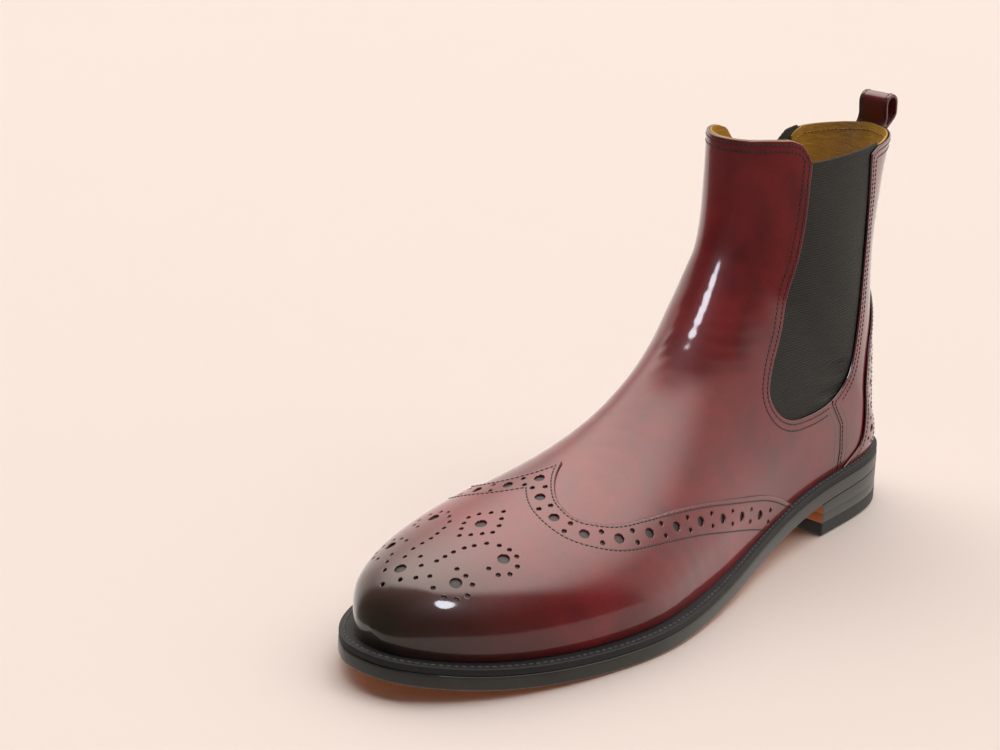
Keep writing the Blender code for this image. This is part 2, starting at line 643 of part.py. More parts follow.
def nail_places():
    """Nails in a horseshoe, a set distance inside the heel's edge."""
    outer, inner = offset_outline(-7 * MM)
    keep_outer = outer[outer[:, 0] < HEEL_LENGTH - 12 * MM]
    keep_inner = inner[inner[:, 0] < HEEL_LENGTH - 12 * MM]
    horseshoe = np.concatenate([keep_outer[::-1], keep_inner[1:]])
    return evened(horseshoe, NAIL_COUNT)


def make_sole():
    reach = sole_reach
    rise = OUTSOLE_THICKNESS + GAP
    add_plate("outsole", "black_edge", rungs(reach, None, None, 34), sole_bottom, above_sole(OUTSOLE_THICKNESS))
    inner_edge = -(SEAT_INSET - GAP)
    add_ring("welt", "black_edge", reach, inner_edge, above_sole(rise), above_sole(rise + WELT_THICKNESS))
    inside = inner_edge - FILLER_GAP
    ball = 142 * MM * LENGTHEN
    seat_end = 38 * MM * LENGTHEN
    fill = (above_sole(rise), above_sole(rise + WELT_THICKNESS))
    add_plate("cork_filler", "cork", rungs(inside, ball, None, 14), *fill)
    add_plate("heel_seat_filler", "sole_leather", rungs(inside, None, seat_end, 8), *fill)
    shank_x = np.linspace(seat_end + GAP, ball - GAP, 12)
    half = np.full(12, SHANK_WIDTH / 2)
    shank = (shank_x, half + 2 * MM, 2 * MM - half, False, False)
    add_plate("shank", "steel", shank, above_sole(rise), above_sole(rise + SHANK_THICKNESS))
    floor = FEATHER
    add_plate("insole", "stiff_board", rungs(-SEAT_INSET, None, None, 24), above_sole(floor),
              above_sole(floor + INSOLE_THICKNESS))
    floor += INSOLE_THICKNESS + GAP
    add_plate("sock_liner", "tan_lining", rungs(-SEAT_INSET - 0.5 * MM, None, None, 24), above_sole(floor),
              above_sole(floor + SOCK_THICKNESS))


def make_heel():
    lift = (HEEL_HEIGHT * 0.875 - TOP_PIECE_THICKNESS - 2 * GAP) / 2
    tiers = [("heel_top_piece", "rubber", level(0.0), level(TOP_PIECE_THICKNESS))]
    first = TOP_PIECE_THICKNESS + GAP
    tiers.append(("heel_lift_lower", "black_edge", level(first), level(first + lift)))
    second = first + lift + GAP
    tiers.append(("heel_lift_upper", "black_edge", level(second), lambda x: sole_bottom(x) - GAP))
    for name, colour, bottom, top in tiers:
        add_plate(name, colour, rungs(sole_reach, None, HEEL_LENGTH, 14), bottom, top)


# Blender objects

def material(name):
    colour, roughness, metallic = COLOURS[name]
    made = bpy.data.materials.get(name) or bpy.data.materials.new(name)
    made.use_nodes = True
    shader = made.node_tree.nodes["Principled BSDF"]
    shader.inputs["Base Color"].default_value = (*colour, 1.0)
    shader.inputs["Roughness"].default_value = roughness
    shader.inputs["Metallic"].default_value = metallic
    made.diffuse_color = (*colour, 1.0)
    return made


def add_object(name, points, faces, origin):
    mesh = bpy.data.meshes.new(name)
    mesh.from_pydata([tuple(p) for p in np.asarray(points) - origin], [], [tuple(map(int, f)) for f in faces])
    mesh.validate()
    made = bpy.data.objects.new(name, mesh)
    bpy.context.scene.collection.objects.link(made)
    made.location = origin
    return made


def add_empty(name, place, parent=None):
    made = bpy.data.objects.new(name, None)
    bpy.context.scene.collection.objects.link(made)
    made.parent = parent
    made.location = place
    return made


def box_of(pieces):
    everything = np.concatenate([points for _, points, _ in pieces.values()])
    return everything.min(0), everything.max(0)


def add_nails(shift, parent):
    """Nails, and the cutter that makes their holes in the top piece and the lift above it."""
    sides = 10
    turn = np.linspace(0, 2 * math.pi, sides, endpoint=False)
    circle = np.stack([np.cos(turn), np.sin(turn)], 1)
    cutter_points, cutter_faces = [], []
    for number, (x, y) in enumerate(nail_places(), 1):
        for radius, low, high, is_nail in (
                (NAIL_DIAMETER / 2, 0.2 * MM, NAIL_LENGTH, True),
                (NAIL_DIAMETER / 2 + GAP, -2 * MM, NAIL_LENGTH + GAP, False)):
            ring = [(x + radius * c, y + radius * s) for c, s in circle]
            points = [(u, v, low) for u, v in ring] + [(u, v, high) for u, v in ring]
            faces = [tuple(range(sides))[::-1], tuple(range(sides, 2 * sides))]
            faces += [(k, (k + 1) % sides, sides + (k + 1) % sides, sides + k) for k in range(sides)]
            if is_nail:
                nail = add_object("heel_nail_%d" % number, np.array(points) + shift, faces, np.zeros(3))
                nail.data.materials.append(material("steel"))
                nail.parent = parent
            else:
                first = len(cutter_points)
                cutter_points += points
                cutter_faces += [tuple(first + k for k in face) for face in faces]
    cutter = add_object("nail_cutter", np.array(cutter_points) + shift, cutter_faces, np.zeros(3))
    cutter.hide_render = True
    cutter.display_type = "WIRE"
    for name in ("heel_top_piece", "heel_lift_lower"):
        hole = bpy.data.objects[name].modifiers.new("nail_holes", "BOOLEAN")
        hole.operation = "DIFFERENCE"
        hole.solver = "EXACT"
        hole.object = cutter


BACK_SHAFT = ("quarter_upper_outer", "quarter_upper_inner", "quarter_lining_upper", "backstay",
              "loop_tail_outer", "loop_tail_inner")


def main():
    for old in list(bpy.data.objects):
        bpy.data.objects.remove(old)
    make_upper()
    make_sole()
    make_heel()
    low, high = box_of(PIECES)
    shift = np.array([-(low[0] + high[0]) / 2, -(low[1] + high[1]) / 2, -low[2]])
    boot = add_empty("boot", (0, 0, 0))
    flex = np.array([back_at(FLEX) - OVERLAY[1] - GAP, 0.0, FLEX]) + shift
    loop_axis = np.array([LOOP_FRONT, 0.0, LOOP_START]) + shift
    back_shaft = add_empty("back_shaft_axis", flex, boot)
    loop_hinge = add_empty("pull_loop_axis", loop_axis - flex, back_shaft)
    for name, (colour, points, faces) in PIECES.items():
        parent, origin = boot, np.zeros(3)
        if name in BACK_SHAFT:
            parent, origin = back_shaft, flex
        if name == "pull_loop":
            parent, origin = loop_hinge, loop_axis
        made = add_object(name, points + shift, faces, origin)
        made.data.materials.append(material(colour))
        made.parent = parent
        made.location = (0, 0, 0)
    add_nails(shift, boot)


main()
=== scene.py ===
import math

import bpy
import numpy as np
from mathutils import Matrix, Vector


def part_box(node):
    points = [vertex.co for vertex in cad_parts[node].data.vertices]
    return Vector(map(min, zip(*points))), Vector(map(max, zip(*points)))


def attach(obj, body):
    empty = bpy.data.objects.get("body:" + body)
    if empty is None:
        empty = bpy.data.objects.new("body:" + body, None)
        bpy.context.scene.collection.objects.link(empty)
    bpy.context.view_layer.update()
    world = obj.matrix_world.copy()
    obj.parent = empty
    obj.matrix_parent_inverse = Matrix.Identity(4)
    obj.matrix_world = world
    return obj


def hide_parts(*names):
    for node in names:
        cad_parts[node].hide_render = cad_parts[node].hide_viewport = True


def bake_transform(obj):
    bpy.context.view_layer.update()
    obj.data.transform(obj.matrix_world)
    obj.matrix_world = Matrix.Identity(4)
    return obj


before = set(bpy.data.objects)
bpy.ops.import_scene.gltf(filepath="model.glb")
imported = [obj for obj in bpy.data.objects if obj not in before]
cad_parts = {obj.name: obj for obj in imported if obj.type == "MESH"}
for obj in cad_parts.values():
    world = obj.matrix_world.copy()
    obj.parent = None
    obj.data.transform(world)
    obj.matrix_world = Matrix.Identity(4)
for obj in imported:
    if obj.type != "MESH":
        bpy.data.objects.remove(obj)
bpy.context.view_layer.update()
mm = 0.001

# Everything is worked out in millimetres from the back of the heel, then moved to its place.
heelPlace = np.array([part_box("outsole")[0].x / mm + 3.5,
                      (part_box("pull_loop")[0].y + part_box("pull_loop")[1].y) / 2 / mm, 0.0])


def deselectAll():
    if bpy.context.object and bpy.context.object.mode != "OBJECT":
        bpy.ops.object.mode_set(mode="OBJECT")
    bpy.ops.object.select_all(action="DESELECT")


def naturalCurve(knots, values, at):
    knots, values, at = (np.asarray(a, float) for a in (knots, values, at))
    count, step = len(knots), np.diff(knots)
    matrix, right = np.zeros((count, count)), np.zeros_like(values)
    matrix[0, 0] = matrix[-1, -1] = 1.0
    for i in range(1, count - 1):
        matrix[i, i - 1:i + 2] = step[i - 1], 2 * (step[i - 1] + step[i]), step[i]
        right[i] = 6 * ((values[i + 1] - values[i]) / step[i] - (values[i] - values[i - 1]) / step[i - 1])
    bend = np.linalg.solve(matrix, right)
    k = np.clip(np.searchsorted(knots, at, side="right") - 1, 0, count - 2)
    spread = (...,) + (None,) * (values.ndim - 1)
    run, span = (at - knots[k])[spread], step[k][spread]
    slope = (values[k + 1] - values[k]) / span - span * (2 * bend[k] + bend[k + 1]) / 6
    return values[k] + slope * run + bend[k] / 2 * run**2 + (bend[k + 1] - bend[k]) / (6 * span) * run**3


def smoothLine(points, count):
    points = np.asarray(points, float)
    chord = np.sqrt(np.linalg.norm(np.diff(points, axis=0), axis=1))
    at = np.concatenate([[0.0], np.cumsum(chord)])
    return naturalCurve(at, points, np.linspace(0.0, at[-1], count))


def unit(vectors):
    return vectors / np.maximum(np.linalg.norm(vectors, axis=-1), 1e-9)[..., None]


# Two triangles for each square of a grid, its corners given in turn
def gridTriangles(a, b, c, d):
    return np.concatenate([np.stack([a, b, c], -1).reshape(-1, 3), np.stack([a, c, d], -1).reshape(-1, 3)])


def runOf(points):
    return np.concatenate([[0.0], np.cumsum(np.linalg.norm(np.diff(points[:, :3], axis=0), axis=1))])


def readAlong(points, run, at):
    return np.stack([np.interp(at, run, points[:, k]) for k in range(points.shape[1])], 1)


def evened(points, count):
    run = runOf(points)
    return readAlong(points, run, np.linspace(0.0, run[-1], count))


def smoothStep(value, low, high):
    share = np.clip((value - low) / (high - low), 0, 1)
    return share * share * (3 - 2 * share)


# The last: side profile of the sole, its outline, and the sections of the upper
last = {
    "profileX": [-8, 30, 70, 105, 145, 185, 215, 250, 280, 306],
    "profileZ": [16.6, 16, 14, 8.7, 3.36, 0.5, 0.0, 1.2, 3.75, 7.5],
    "outsole": 5.8, "welt": 3.0, "gap": 0.3,
    "outer": [(0, 0), (2.2, 11), (9, 21.5), (22, 29), (42, 32.5), (75, 34.5), (110, 38.5), (145, 45.5),
              (175, 50.5), (200, 52), (225, 48.5), (250, 41.5), (272, 31), (288, 18.5), (297, 6),
              (298.5, -3)],
    "inner": [(0, 0), (2.2, -11), (9, -21), (22, -28), (42, -31), (75, -28.5), (110, -26.5), (145, -29.5),
              (175, -35.5), (200, -41), (225, -43.5), (250, -41), (272, -33.5), (288, -23), (297, -11.5),
              (298.5, -3)],
    "reachX": [-10, 40, 90, 130, 180, 240, 310], "reach": [3.5, 3.5, 3.5, 4.515, 6.51, 7, 7],
    "shoulder": 0.62, "heelCorner": 46.0, "heelStation": 11, "straightFrom": 120.0,
}
# ridge x, ridge rise above the welt line, back x, back rise, bulges, widest share, roundness, centre;
# a back rise of onWelt means that the section ends on the welt line
onWelt = math.nan
stations = [
    (300, 8, 298.5, onWelt, 0.3, 0.3, .35, 2.2, 2.2, -3),
    (292, 22.2, 291, onWelt, 0.8, 0.8, .32, 2.2, 2.2, -2.5),
    (276, 30.7, 275, onWelt, 1.2, 1.2, .30, 2.2, 2.2, -2),
    (252, 38.2, 250, onWelt, 1.5, 1.5, .28, 2.1, 2.2, -1),
    (225, 45.4, 220, onWelt, 1.5, 1.8, .26, 2.0, 2.2, 0),
    (198, 52.8, 188, onWelt, 1.0, 1.5, .24, 1.9, 2.2, 1),
    (172, 62.3, 154, onWelt, 0.0, 0.5, .22, 1.85, 2.2, 1.5),
    (150, 73.7, 118, onWelt, 0.0, 1.0, .22, 1.85, 2.2, 1.5),
    (132, 86.5, 80, onWelt, 0.0, 1.5, .24, 1.9, 2.2, 1.5),
    (119, 100.7, 40, onWelt, 0.0, 1.0, .28, 1.95, 2.2, 1),
    (112, 109.7, 14, onWelt, -1.0, -0.5, .33, 2.0, 2.1, 0.5),
    (108.5, 115.7, 0, 0, -1.5, -1.5, .37, 2.0, 2.0, 0),
    (105.5, 123.8, -2.2, 20, -3.0, -3.0, .42, 2.05, 2.0, 0),
    (103.7, 130.5, -1.2, 46, -4.0, -4.0, .45, 2.1, 2.0, 0),
    (102.5, 138.3, 1.0, 74, -4.5, -4.5, .47, 2.15, 2.0, 0),
    (102, 146.2, -1.5, 102, -5.0, -5.0, .49, 2.2, 2.0, 0),
    (102, 155.2, -7.5, 130, -5.0, -5.0, .50, 2.2, 2.0, 0),
    (102, 165.2, -15.5, 156, -4.0, -4.0, .50, 2.2, 2.0, 0),
]


def soleBottom(x):
    return naturalCurve(last["profileX"], last["profileZ"], x)


def welted(x):
    return soleBottom(x) + last["outsole"] + last["welt"] + 2 * last["gap"]


def soleReach(x):
    return naturalCurve(last["reachX"], last["reach"], x)


outerLine, innerLine = smoothLine(last["outer"], 900), smoothLine(last["inner"], 900)
outline = np.concatenate([outerLine, innerLine[-2:0:-1]])
seat = float(welted(0.0))
topBack, topFront, flexLine = seat + 137.5, seat + 150.5, seat + 74.5

stationTable = np.array(stations, float)
stationTable[:, 1] += welted(stationTable[:, 0])
backRows = ~np.isnan(stationTable[:, 3])
stationTable[:, 3] = np.where(backRows, stationTable[:, 3] + seat, welted(stationTable[:, 2]))
stationRange = np.arange(len(stationTable))


def halfWidth(line, x):
    return np.interp(x, np.maximum.accumulate(line[:, 0]), np.abs(line[:, 1]))


# Outer and inner halves of the outline, moved outwards
def movedOutline(distance):
    along = np.roll(outline, -1, 0) - np.roll(outline, 1, 0)
    along = unit(along)
    outward = np.stack([-along[:, 1], along[:, 0]], 1)
    reach = distance(outline[:, 0]) if callable(distance) else np.full(len(outline), float(distance))
    moved = outline + outward * reach[:, None]
    count = len(outerLine)
    return moved[:count], np.concatenate([moved[:1], moved[:count - 2:-1]])


def upperRow(place, count):
    row = naturalCurve(stationRange, stationTable, place)
    ridgeX, ridgeZ, backX, backZ, bulgeOut, bulgeIn, widest, above, below, centre = row
    low = place < last["heelStation"]
    if low:
        backX = max(backX, 0.0)
        backZ = float(welted(backX))
    widthX = last["heelCorner"] + 10 * math.log1p(math.exp((backX - last["heelCorner"]) / 10))
    if backX > last["straightFrom"]:
        widthX = backX
    at = np.linspace(0.0, 1.0, count)
    over = at <= last["shoulder"]
    high = np.clip(at / last["shoulder"], 0, 1) * math.pi / 2
    down = np.clip((at - last["shoulder"]) / (1 - last["shoulder"]), 0, 1) * math.pi / 2
    halves = []
    for side, line, bulge in ((1, outerLine, bulgeOut), (-1, innerLine, bulgeIn)):
        foot = halfWidth(line, backX) - side * centre if low else 0.0
        wide = max(halfWidth(line, widthX) + bulge - side * centre, foot)
        share = np.where(over, widest + (1 - widest) * np.cos(high) ** (2 / above),
                         widest * (1 - np.sin(down) ** (2 / below)))
        across = np.where(over, wide * np.sin(high) ** (2 / above),
                          foot + (wide - foot) * np.cos(down) ** (2 / below))
        share[-1], across[-1] = 0.0, foot
        halves.append(np.stack([backX + share * (ridgeX - backX), centre + side * across,
                                backZ + share * (ridgeZ - backZ)], 1))
    return halves


# Lines of the upper
lines = {
    "gore": [(69, 175), (72.5, 140), (73.6, 127), (74.8, 115), (77, 101), (82, 87), (88.5, 70), (94.5, 60),
             (99, 51), (100, 45.5), (97.8, 40), (93.5, 35.5), (86.7, 32.2), (78, 31), (67, 31), (56, 32.8),
             (47.5, 37), (41, 44.5), (36, 56), (32, 71), (29, 88), (27.5, 106), (28, 121), (30.5, 139), (33, 175)],
    "seam": [(-12, 56), (-2, 50.5), (8, 49), (20, 49.5), (31, 56.5), (60, 62), (100, 56), (180, 52)],
    "frontEdge": [(60, 40), (70, 19), (72.5, 13), (75, 7.5), (79, 2.6), (84, 0.6), (92, 0), (104, 0)],
    "wing": [(198, 0), (204, 2.8), (209.2, 6.4), (213.8, 10.8), (217.2, 15.4), (218.8, 20.4), (218.6, 26.4),
             (214, 32.4), (207, 37.5), (196.5, 41.2), (184.5, 44.6), (165.5, 51), (143.5, 61.5), (115, 79),
             (97.4, 93.6), (80, 112)],
    "foxing": [(0, 73.5), (10, 71.5), (20, 65.5), (28, 57), (34.5, 48), (39.5, 39), (42.3, 30), (43, 21),
               (43, 13), (45, 6), (51, 2), (58, -2), (66, -8)],
}
fieldNames = ["px", "py", "pz", "nx", "ny", "nz", "gore", "front", "frontTop", "backTop", "wing", "foxing",
              "across", "rim", "hole"]
columnOf = {name: k for k, name in enumerate(fieldNames + ["rib", "phase"])}      # two last: gores only


def lineDistance(line, u, v, closedSide):
    start, run = line[:-1], np.diff(line, axis=0)
    length = (run**2).sum(1)
    found = np.zeros(len(u))
    for k in range(0, len(u), 6000):
        there = np.stack([u[k:k + 6000], v[k:k + 6000]], 1)[:, None, :] - start[None]
        share = np.clip((there * run).sum(2) / length, 0, 1)
        found[k:k + 6000] = np.sqrt(((there - share[..., None] * run) ** 2).sum(2)).min(1)
    return np.where(closedSide, found, -found)


def insidePolygon(polygon, u, v):
    hit = np.zeros(len(u), bool)
    for (u0, v0), (u1, v1) in zip(polygon, np.roll(polygon, -1, 0)):
        if v0 != v1:
            hit ^= ((v0 > v) != (v1 > v)) & (u < u0 + (v - v0) * (u1 - u0) / (v1 - v0))
    return hit


def realTriangles(triangles):
    return triangles[(triangles != np.roll(triangles, 1, 1)).all(1)]


def vertexSums(count, triangles, amount):
    total = np.zeros((count, 3))
    for k in range(3):
        for axis in range(3):
            total[:, axis] += np.bincount(triangles[:, k], amount[:, axis], count)
    return total


def pointNormals(points, triangles):
    a, b, c = (points[triangles[:, k]] for k in range(3))
    total = vertexSums(len(points), triangles, np.cross(b - a, c - a))
    size = np.linalg.norm(total, axis=1)
    return total / np.where(size == 0, 1, size)[:, None]


# Creases of worn-in leather: height in mm over the surface
creases = {"shaft": 0.16, "ankle": 0.07, "vamp": 0.07}
shaftWear = {"lean": 6.0, "rearDip": 3.5, "goreSag": 5.5}      # how the worn top leans in and sags, mm


def creaseHeight(points, across):
    x, y, z = points.T
    swell = (np.sin(x / 7.3 + 2.1 * np.sin(z / 13.0) + y / 9.0)
             + np.sin(z / 8.7 + 1.7 * np.sin(x / 11.0) - y / 15.0)
             + 0.7 * np.sin(x / 4.1 - z / 5.3 + 2 * np.sin(y / 6.0))) / 2.7
    height = creases["shaft"] * swell * smoothStep(z, 62, 120)
    wander = 1.6 * np.sin(y / 7.0 + x / 9.0) + 1.1 * np.sin(y / 3.7 + z / 11.0)
    folds = np.abs(np.sin(z / 2.3 + wander)) ** 3
    height -= (creases["ankle"] * folds * smoothStep(z, 82, 96) * smoothStep(-z, -128, -112)
               * smoothStep(x, 80, 98))
    fan = np.abs(np.sin((x + 0.45 * np.abs(across)) / 3.1 + 1.3 * np.sin(y / 8.0))) ** 4
    height -= creases["vamp"] * fan * smoothStep(x, 150, 172) * smoothStep(-x, -212, -196)
    height += 0.05 * swell * smoothStep(x, 110, 140) * smoothStep(-x, -215, -190)
    return height


# Folds at the very tip of the toe and low on the heel are smoothed out, the welt line left where it is
def easedFolds(points, triangles):
    rise = points[:, 2] - welted(points[:, 0])
    heelShare = 0.7 * smoothStep(-points[:, 0], -66, -50) * smoothStep(-rise, -62, -36)
    share = np.maximum(smoothStep(points[:, 0], 284, 292), heelShare) * smoothStep(rise, 0.2, 3.0)
    edges = np.concatenate([triangles[:, [0, 1]], triangles[:, [1, 2]], triangles[:, [2, 0]]])
    edges = np.concatenate([edges, edges[:, ::-1]])
    degree = np.bincount(edges[:, 0], minlength=len(points))[:, None]
    share = share[:, None] * (degree > 0)
    degree = np.maximum(degree, 1)
    for step in range(40):
        near = np.stack([np.bincount(edges[:, 0], points[edges[:, 1], axis], len(points))
                         for axis in range(3)], 1)
        points = points + 0.5 * share * (near / degree - points)
    return points


def makeUpper(rowCount, halfCount, creased):
    places = np.linspace(0, len(stationTable) - 1, 300)
    marks = []
    for place in places:
        outer, inner = upperRow(place, 21)
        marks.append([outer[0], outer[10], outer[-1], inner[10], inner[-1]])
    moves = np.linalg.norm(np.diff(np.array(marks), axis=0), axis=2).max(1)
    moves = moves * (1 + 1.2 * np.exp(-places[:-1] * 1.5))          # rows lie closer at the toe
    run = np.concatenate([[0.0], np.cumsum(moves)])
    rows = np.interp(np.linspace(0, run[-1], rowCount), run, places)
    columns = 2 * halfCount - 1
    grid = np.zeros((rowCount, columns, 3))
    for i, place in enumerate(rows):
        outer, inner = (evened(half, halfCount) for half in upperRow(place, 241))
        grid[i] = np.concatenate([outer[::-1], inner[1:]])
    index = np.arange(rowCount * columns).reshape(rowCount, columns)
    # worn in, the inner side of the shaft leans over the foot
    lean = shaftWear["lean"] * smoothStep(grid[..., 2], 105, 155) * smoothStep(grid[..., 0], 10, 40)
    lean = lean * smoothStep(-grid[..., 0], -94, -66)
    grid[..., 1] += lean * smoothStep(-grid[..., 1], 2, 14)
    for j in range(halfCount - 1):
        index[0, columns - 1 - j] = index[0, j]
        grid[0, j] = grid[0, columns - 1 - j] = (grid[0, j] + grid[0, columns - 1 - j]) / 2
    closed = rows >= last["heelStation"]
    index[closed, -1] = index[closed, 0]
    leap = np.linalg.norm(np.diff(grid, axis=1), axis=2)
    down = np.concatenate([np.zeros((rowCount, 1)), np.cumsum(leap, axis=1)], 1)
    across = (down[:, halfCount - 1:halfCount] - down).reshape(-1)
    a, b, c, d = index[:-1, :-1], index[:-1, 1:], index[1:, 1:], index[1:, :-1]
    leansDown = np.broadcast_to(np.arange(columns - 1) < halfCount - 1, a.shape).copy()
    leansDown[0] = ~leansDown[0]
    first = np.where(leansDown[..., None], np.stack([a, b, c], -1), np.stack([a, b, d], -1)).reshape(-1, 3)
    second = np.where(leansDown[..., None], np.stack([a, c, d], -1), np.stack([b, c, d], -1)).reshape(-1, 3)
    triangles = np.concatenate([first, second])
    triangles = realTriangles(triangles)
    points = easedFolds(grid.reshape(-1, 3), triangles)
    normals = pointNormals(points, triangles)
    if (normals[:, 1] * points[:, 1]).sum() < 0:
        normals, triangles = -normals, triangles[:, ::-1]
    flat = points.copy()
    if creased:
        points = points + normals * creaseHeight(points, across)[:, None]
        normals = pointNormals(points, triangles)
    x, y, z = flat.T
    rise = z - seat
    gore, wing = smoothLine(lines["gore"], 160), smoothLine(lines["wing"], 120)
    foxing = smoothLine(lines["foxing"], 120)
    seam, edge = np.array(lines["seam"], float), np.array(lines["frontEdge"], float)
    wingX = np.interp(np.abs(across), wing[:, 1], wing[:, 0])
    backX = np.interp(z, stationTable[backRows, 3], stationTable[backRows, 2])
    around = np.hypot(x - backX, y)
    foxingShape = np.concatenate([foxing, [[0.0, -60.0]]])
    fields = [lineDistance(gore, x, rise, insidePolygon(gore, x, rise)),
              x - np.interp(rise, seam[:, 0], seam[:, 1]),
              topFront - np.interp(x, edge[:, 0], edge[:, 1]) - z,
              topBack - shaftWear["rearDip"] * smoothStep(x, 22, 36) - z,
              lineDistance(wing, x, np.abs(across), x > wingX),
              lineDistance(foxing, around, rise, insidePolygon(foxingShape, around, rise)),
              across, np.zeros(len(x)), np.zeros(len(x))]
    return {"data": np.column_stack([points, normals] + fields), "triangles": triangles,
            "grid": points.reshape(rowCount, columns, 3), "flatGrid": flat.reshape(rowCount, columns, 3)}


# Cutting of leather sheets: points carry their normal and every field, so that cuts are exact
def cutSheet(sheet, name, level=0.0, keep="above", snap=0.03):
    data, triangles = sheet["data"], sheet["triangles"]
    value = data[:, columnOf[name]] - level
    value = np.where(np.abs(value) < snap, 0.0, -value if keep == "below" else value)
    signs = np.sign(value)[triangles]
    crossing = (signs.max(1) > 0) & (signs.min(1) < 0)
    whole = triangles[~crossing]
    if keep != "both":
        whole = whole[signs[~crossing].max(1) > 0]
    cut, cutSigns = triangles[crossing], signs[crossing]
    if len(cut) == 0:
        return {"data": data, "triangles": whole}
    # turn each triangle so that its lone corner, or the one on the line, comes first
    total = cutSigns.sum(1)
    onLine = (cutSigns == 0).any(1)
    lone = np.where(onLine, np.argmax(cutSigns == 0, 1), np.argmax(cutSigns == -np.sign(total)[:, None], 1))
    order = (lone[:, None] + np.arange(3)[None]) % 3
    cut = np.take_along_axis(cut, order, 1)
    cutSigns = np.take_along_axis(cutSigns, order, 1)
    p, q, r = cut.T
    ends = np.concatenate([np.stack([q, r], 1)[onLine], np.stack([p, q], 1)[~onLine],
                           np.stack([p, r], 1)[~onLine]])
    ends.sort(1)
    key = ends[:, 0].astype(np.int64) * len(data) + ends[:, 1]
    unique, where = np.unique(key, return_inverse=True)
    low, high = unique // len(data), unique % len(data)
    share = (value[low] / (value[low] - value[high]))[:, None]
    made = data[low] * (1 - share) + data[high] * share
    made[:, 3:6] = unit(made[:, 3:6])
    made[:, columnOf[name]] = level
    where = where.reshape(-1) + len(data)
    onCut, first, second = np.split(where, np.cumsum([onLine.sum(), (~onLine).sum()]))
    halved, (a, b, c) = cut[onLine].T, cut[~onLine].T
    loneSign = cutSigns[~onLine][:, 0]
    parts = np.concatenate([np.stack(corners, 1) for corners in (
        (halved[0], halved[1], onCut), (halved[0], onCut, halved[2]),
        (a, first, second), (first, b, c), (first, c, second))])
    sides = [cutSigns[onLine][:, 1], cutSigns[onLine][:, 2], loneSign, -loneSign, -loneSign]
    if keep != "both":
        parts = parts[np.concatenate(sides) > 0]
    return {"data": np.concatenate([data, made]), "triangles": np.concatenate([whole, parts])}


# Halves the edges of the picked triangles, and splits their neighbours to match
def refineSheet(sheet, picked):
    data, triangles = sheet["data"], sheet["triangles"]
    ends = np.stack([triangles, np.roll(triangles, -1, 1)], -1)
    ends.sort(-1)
    key = ends[..., 0].astype(np.int64) * len(data) + ends[..., 1]
    marked = np.unique(key[picked])
    isMarked = np.isin(key, marked)
    low, high = marked // len(data), marked % len(data)
    made = (data[low] + data[high]) / 2
    made[:, 3:6] = unit(made[:, 3:6])
    middle = np.searchsorted(marked, key) + len(data)
    number = isMarked.sum(1)
    out = [triangles[number == 0]]
    t, m = triangles[number == 3], middle[number == 3]
    out += [np.stack([t[:, k], m[:, k], m[:, (k + 2) % 3]], 1) for k in range(3)] + [m]
    one = number == 1
    order = (np.argmax(isMarked[one], 1)[:, None] + np.arange(3)[None]) % 3
    t, m = np.take_along_axis(triangles[one], order, 1), np.take_along_axis(middle[one], order, 1)
    out += [np.stack(corners, 1) for corners in ((t[:, 0], m[:, 0], t[:, 2]), (m[:, 0], t[:, 1], t[:, 2]))]
    two = number == 2
    order = ((np.argmax(~isMarked[two], 1) + 1)[:, None] + np.arange(3)[None]) % 3
    t, m = np.take_along_axis(triangles[two], order, 1), np.take_along_axis(middle[two], order, 1)
    out += [np.stack([m[:, 0], t[:, 1], m[:, 1]], 1), np.stack([t[:, 0], m[:, 0], m[:, 1]], 1),
            np.stack([t[:, 0], m[:, 1], t[:, 2]], 1)]
    return {"data": np.concatenate([data, made]), "triangles": np.concatenate(out)}


def tidySheet(sheet):
    used, new = np.unique(sheet["triangles"], return_inverse=True)
    return {"data": sheet["data"][used], "triangles": realTriangles(new.reshape(-1, 3))}


def cutBy(sheet, *cuts):
    for cut in cuts:
        sheet = cutSheet(sheet, *cut)
    return sheet


def column(sheet, name):
    return sheet["data"][:, columnOf[name]]


def setRim(sheet, *fields):
    sheet["data"] = sheet["data"].copy()
    sheet["data"][:, columnOf["rim"]] = np.minimum.reduce(fields)


# Gradient of a field over the surface at its points
def steepness(points, triangles, value):
    a, b, c = (points[triangles[:, k]] for k in range(3))
    cross = np.cross(b - a, c - a)
    area = (cross**2).sum(1)
    va, vb, vc = (value[triangles[:, k]][:, None] for k in range(3))
    slope = np.cross(cross, (c - b) * va + (a - c) * vb + (b - a) * vc)
    slope /= np.maximum(area, 1e-12)[:, None]
    weight = np.sqrt(area)[:, None]
    total = vertexSums(len(points), triangles, slope * weight)
    size = vertexSums(len(points), triangles, np.repeat(weight, 3, 1))
    return total / np.maximum(size, 1e-12)


def meshFrom(name, points, triangles, normals=None, material=None):
    mesh = bpy.data.meshes.new(name)
    mesh.vertices.add(len(points))
    mesh.vertices.foreach_set("co", ((points + heelPlace) * mm).astype(np.float32).ravel())
    mesh.loops.add(len(triangles) * 3)
    mesh.loops.foreach_set("vertex_index", triangles.astype(np.int32).ravel())
    mesh.polygons.add(len(triangles))
    mesh.polygons.foreach_set("loop_start", np.arange(0, len(triangles) * 3, 3, dtype=np.int32))
    mesh.polygons.foreach_set("use_smooth", np.ones(len(triangles), bool))
    mesh.update(calc_edges=True)
    if normals is not None:
        mesh.normals_split_custom_set_from_vertices(normals.astype(float).tolist())
    if material is not None:
        mesh.materials.append(material)
    made = bpy.data.objects.new(name, mesh)
    bpy.context.scene.collection.objects.link(made)
    return made


# Upper and lower layer of a sheet, and the wall that joins their rims
def closedFaces(triangles, count):
    start, end = rimEdges(triangles).T
    return np.concatenate([triangles, triangles[:, ::-1] + count, np.stack([end, start, start + count], 1),
                           np.stack([end, start + count, end + count], 1)])


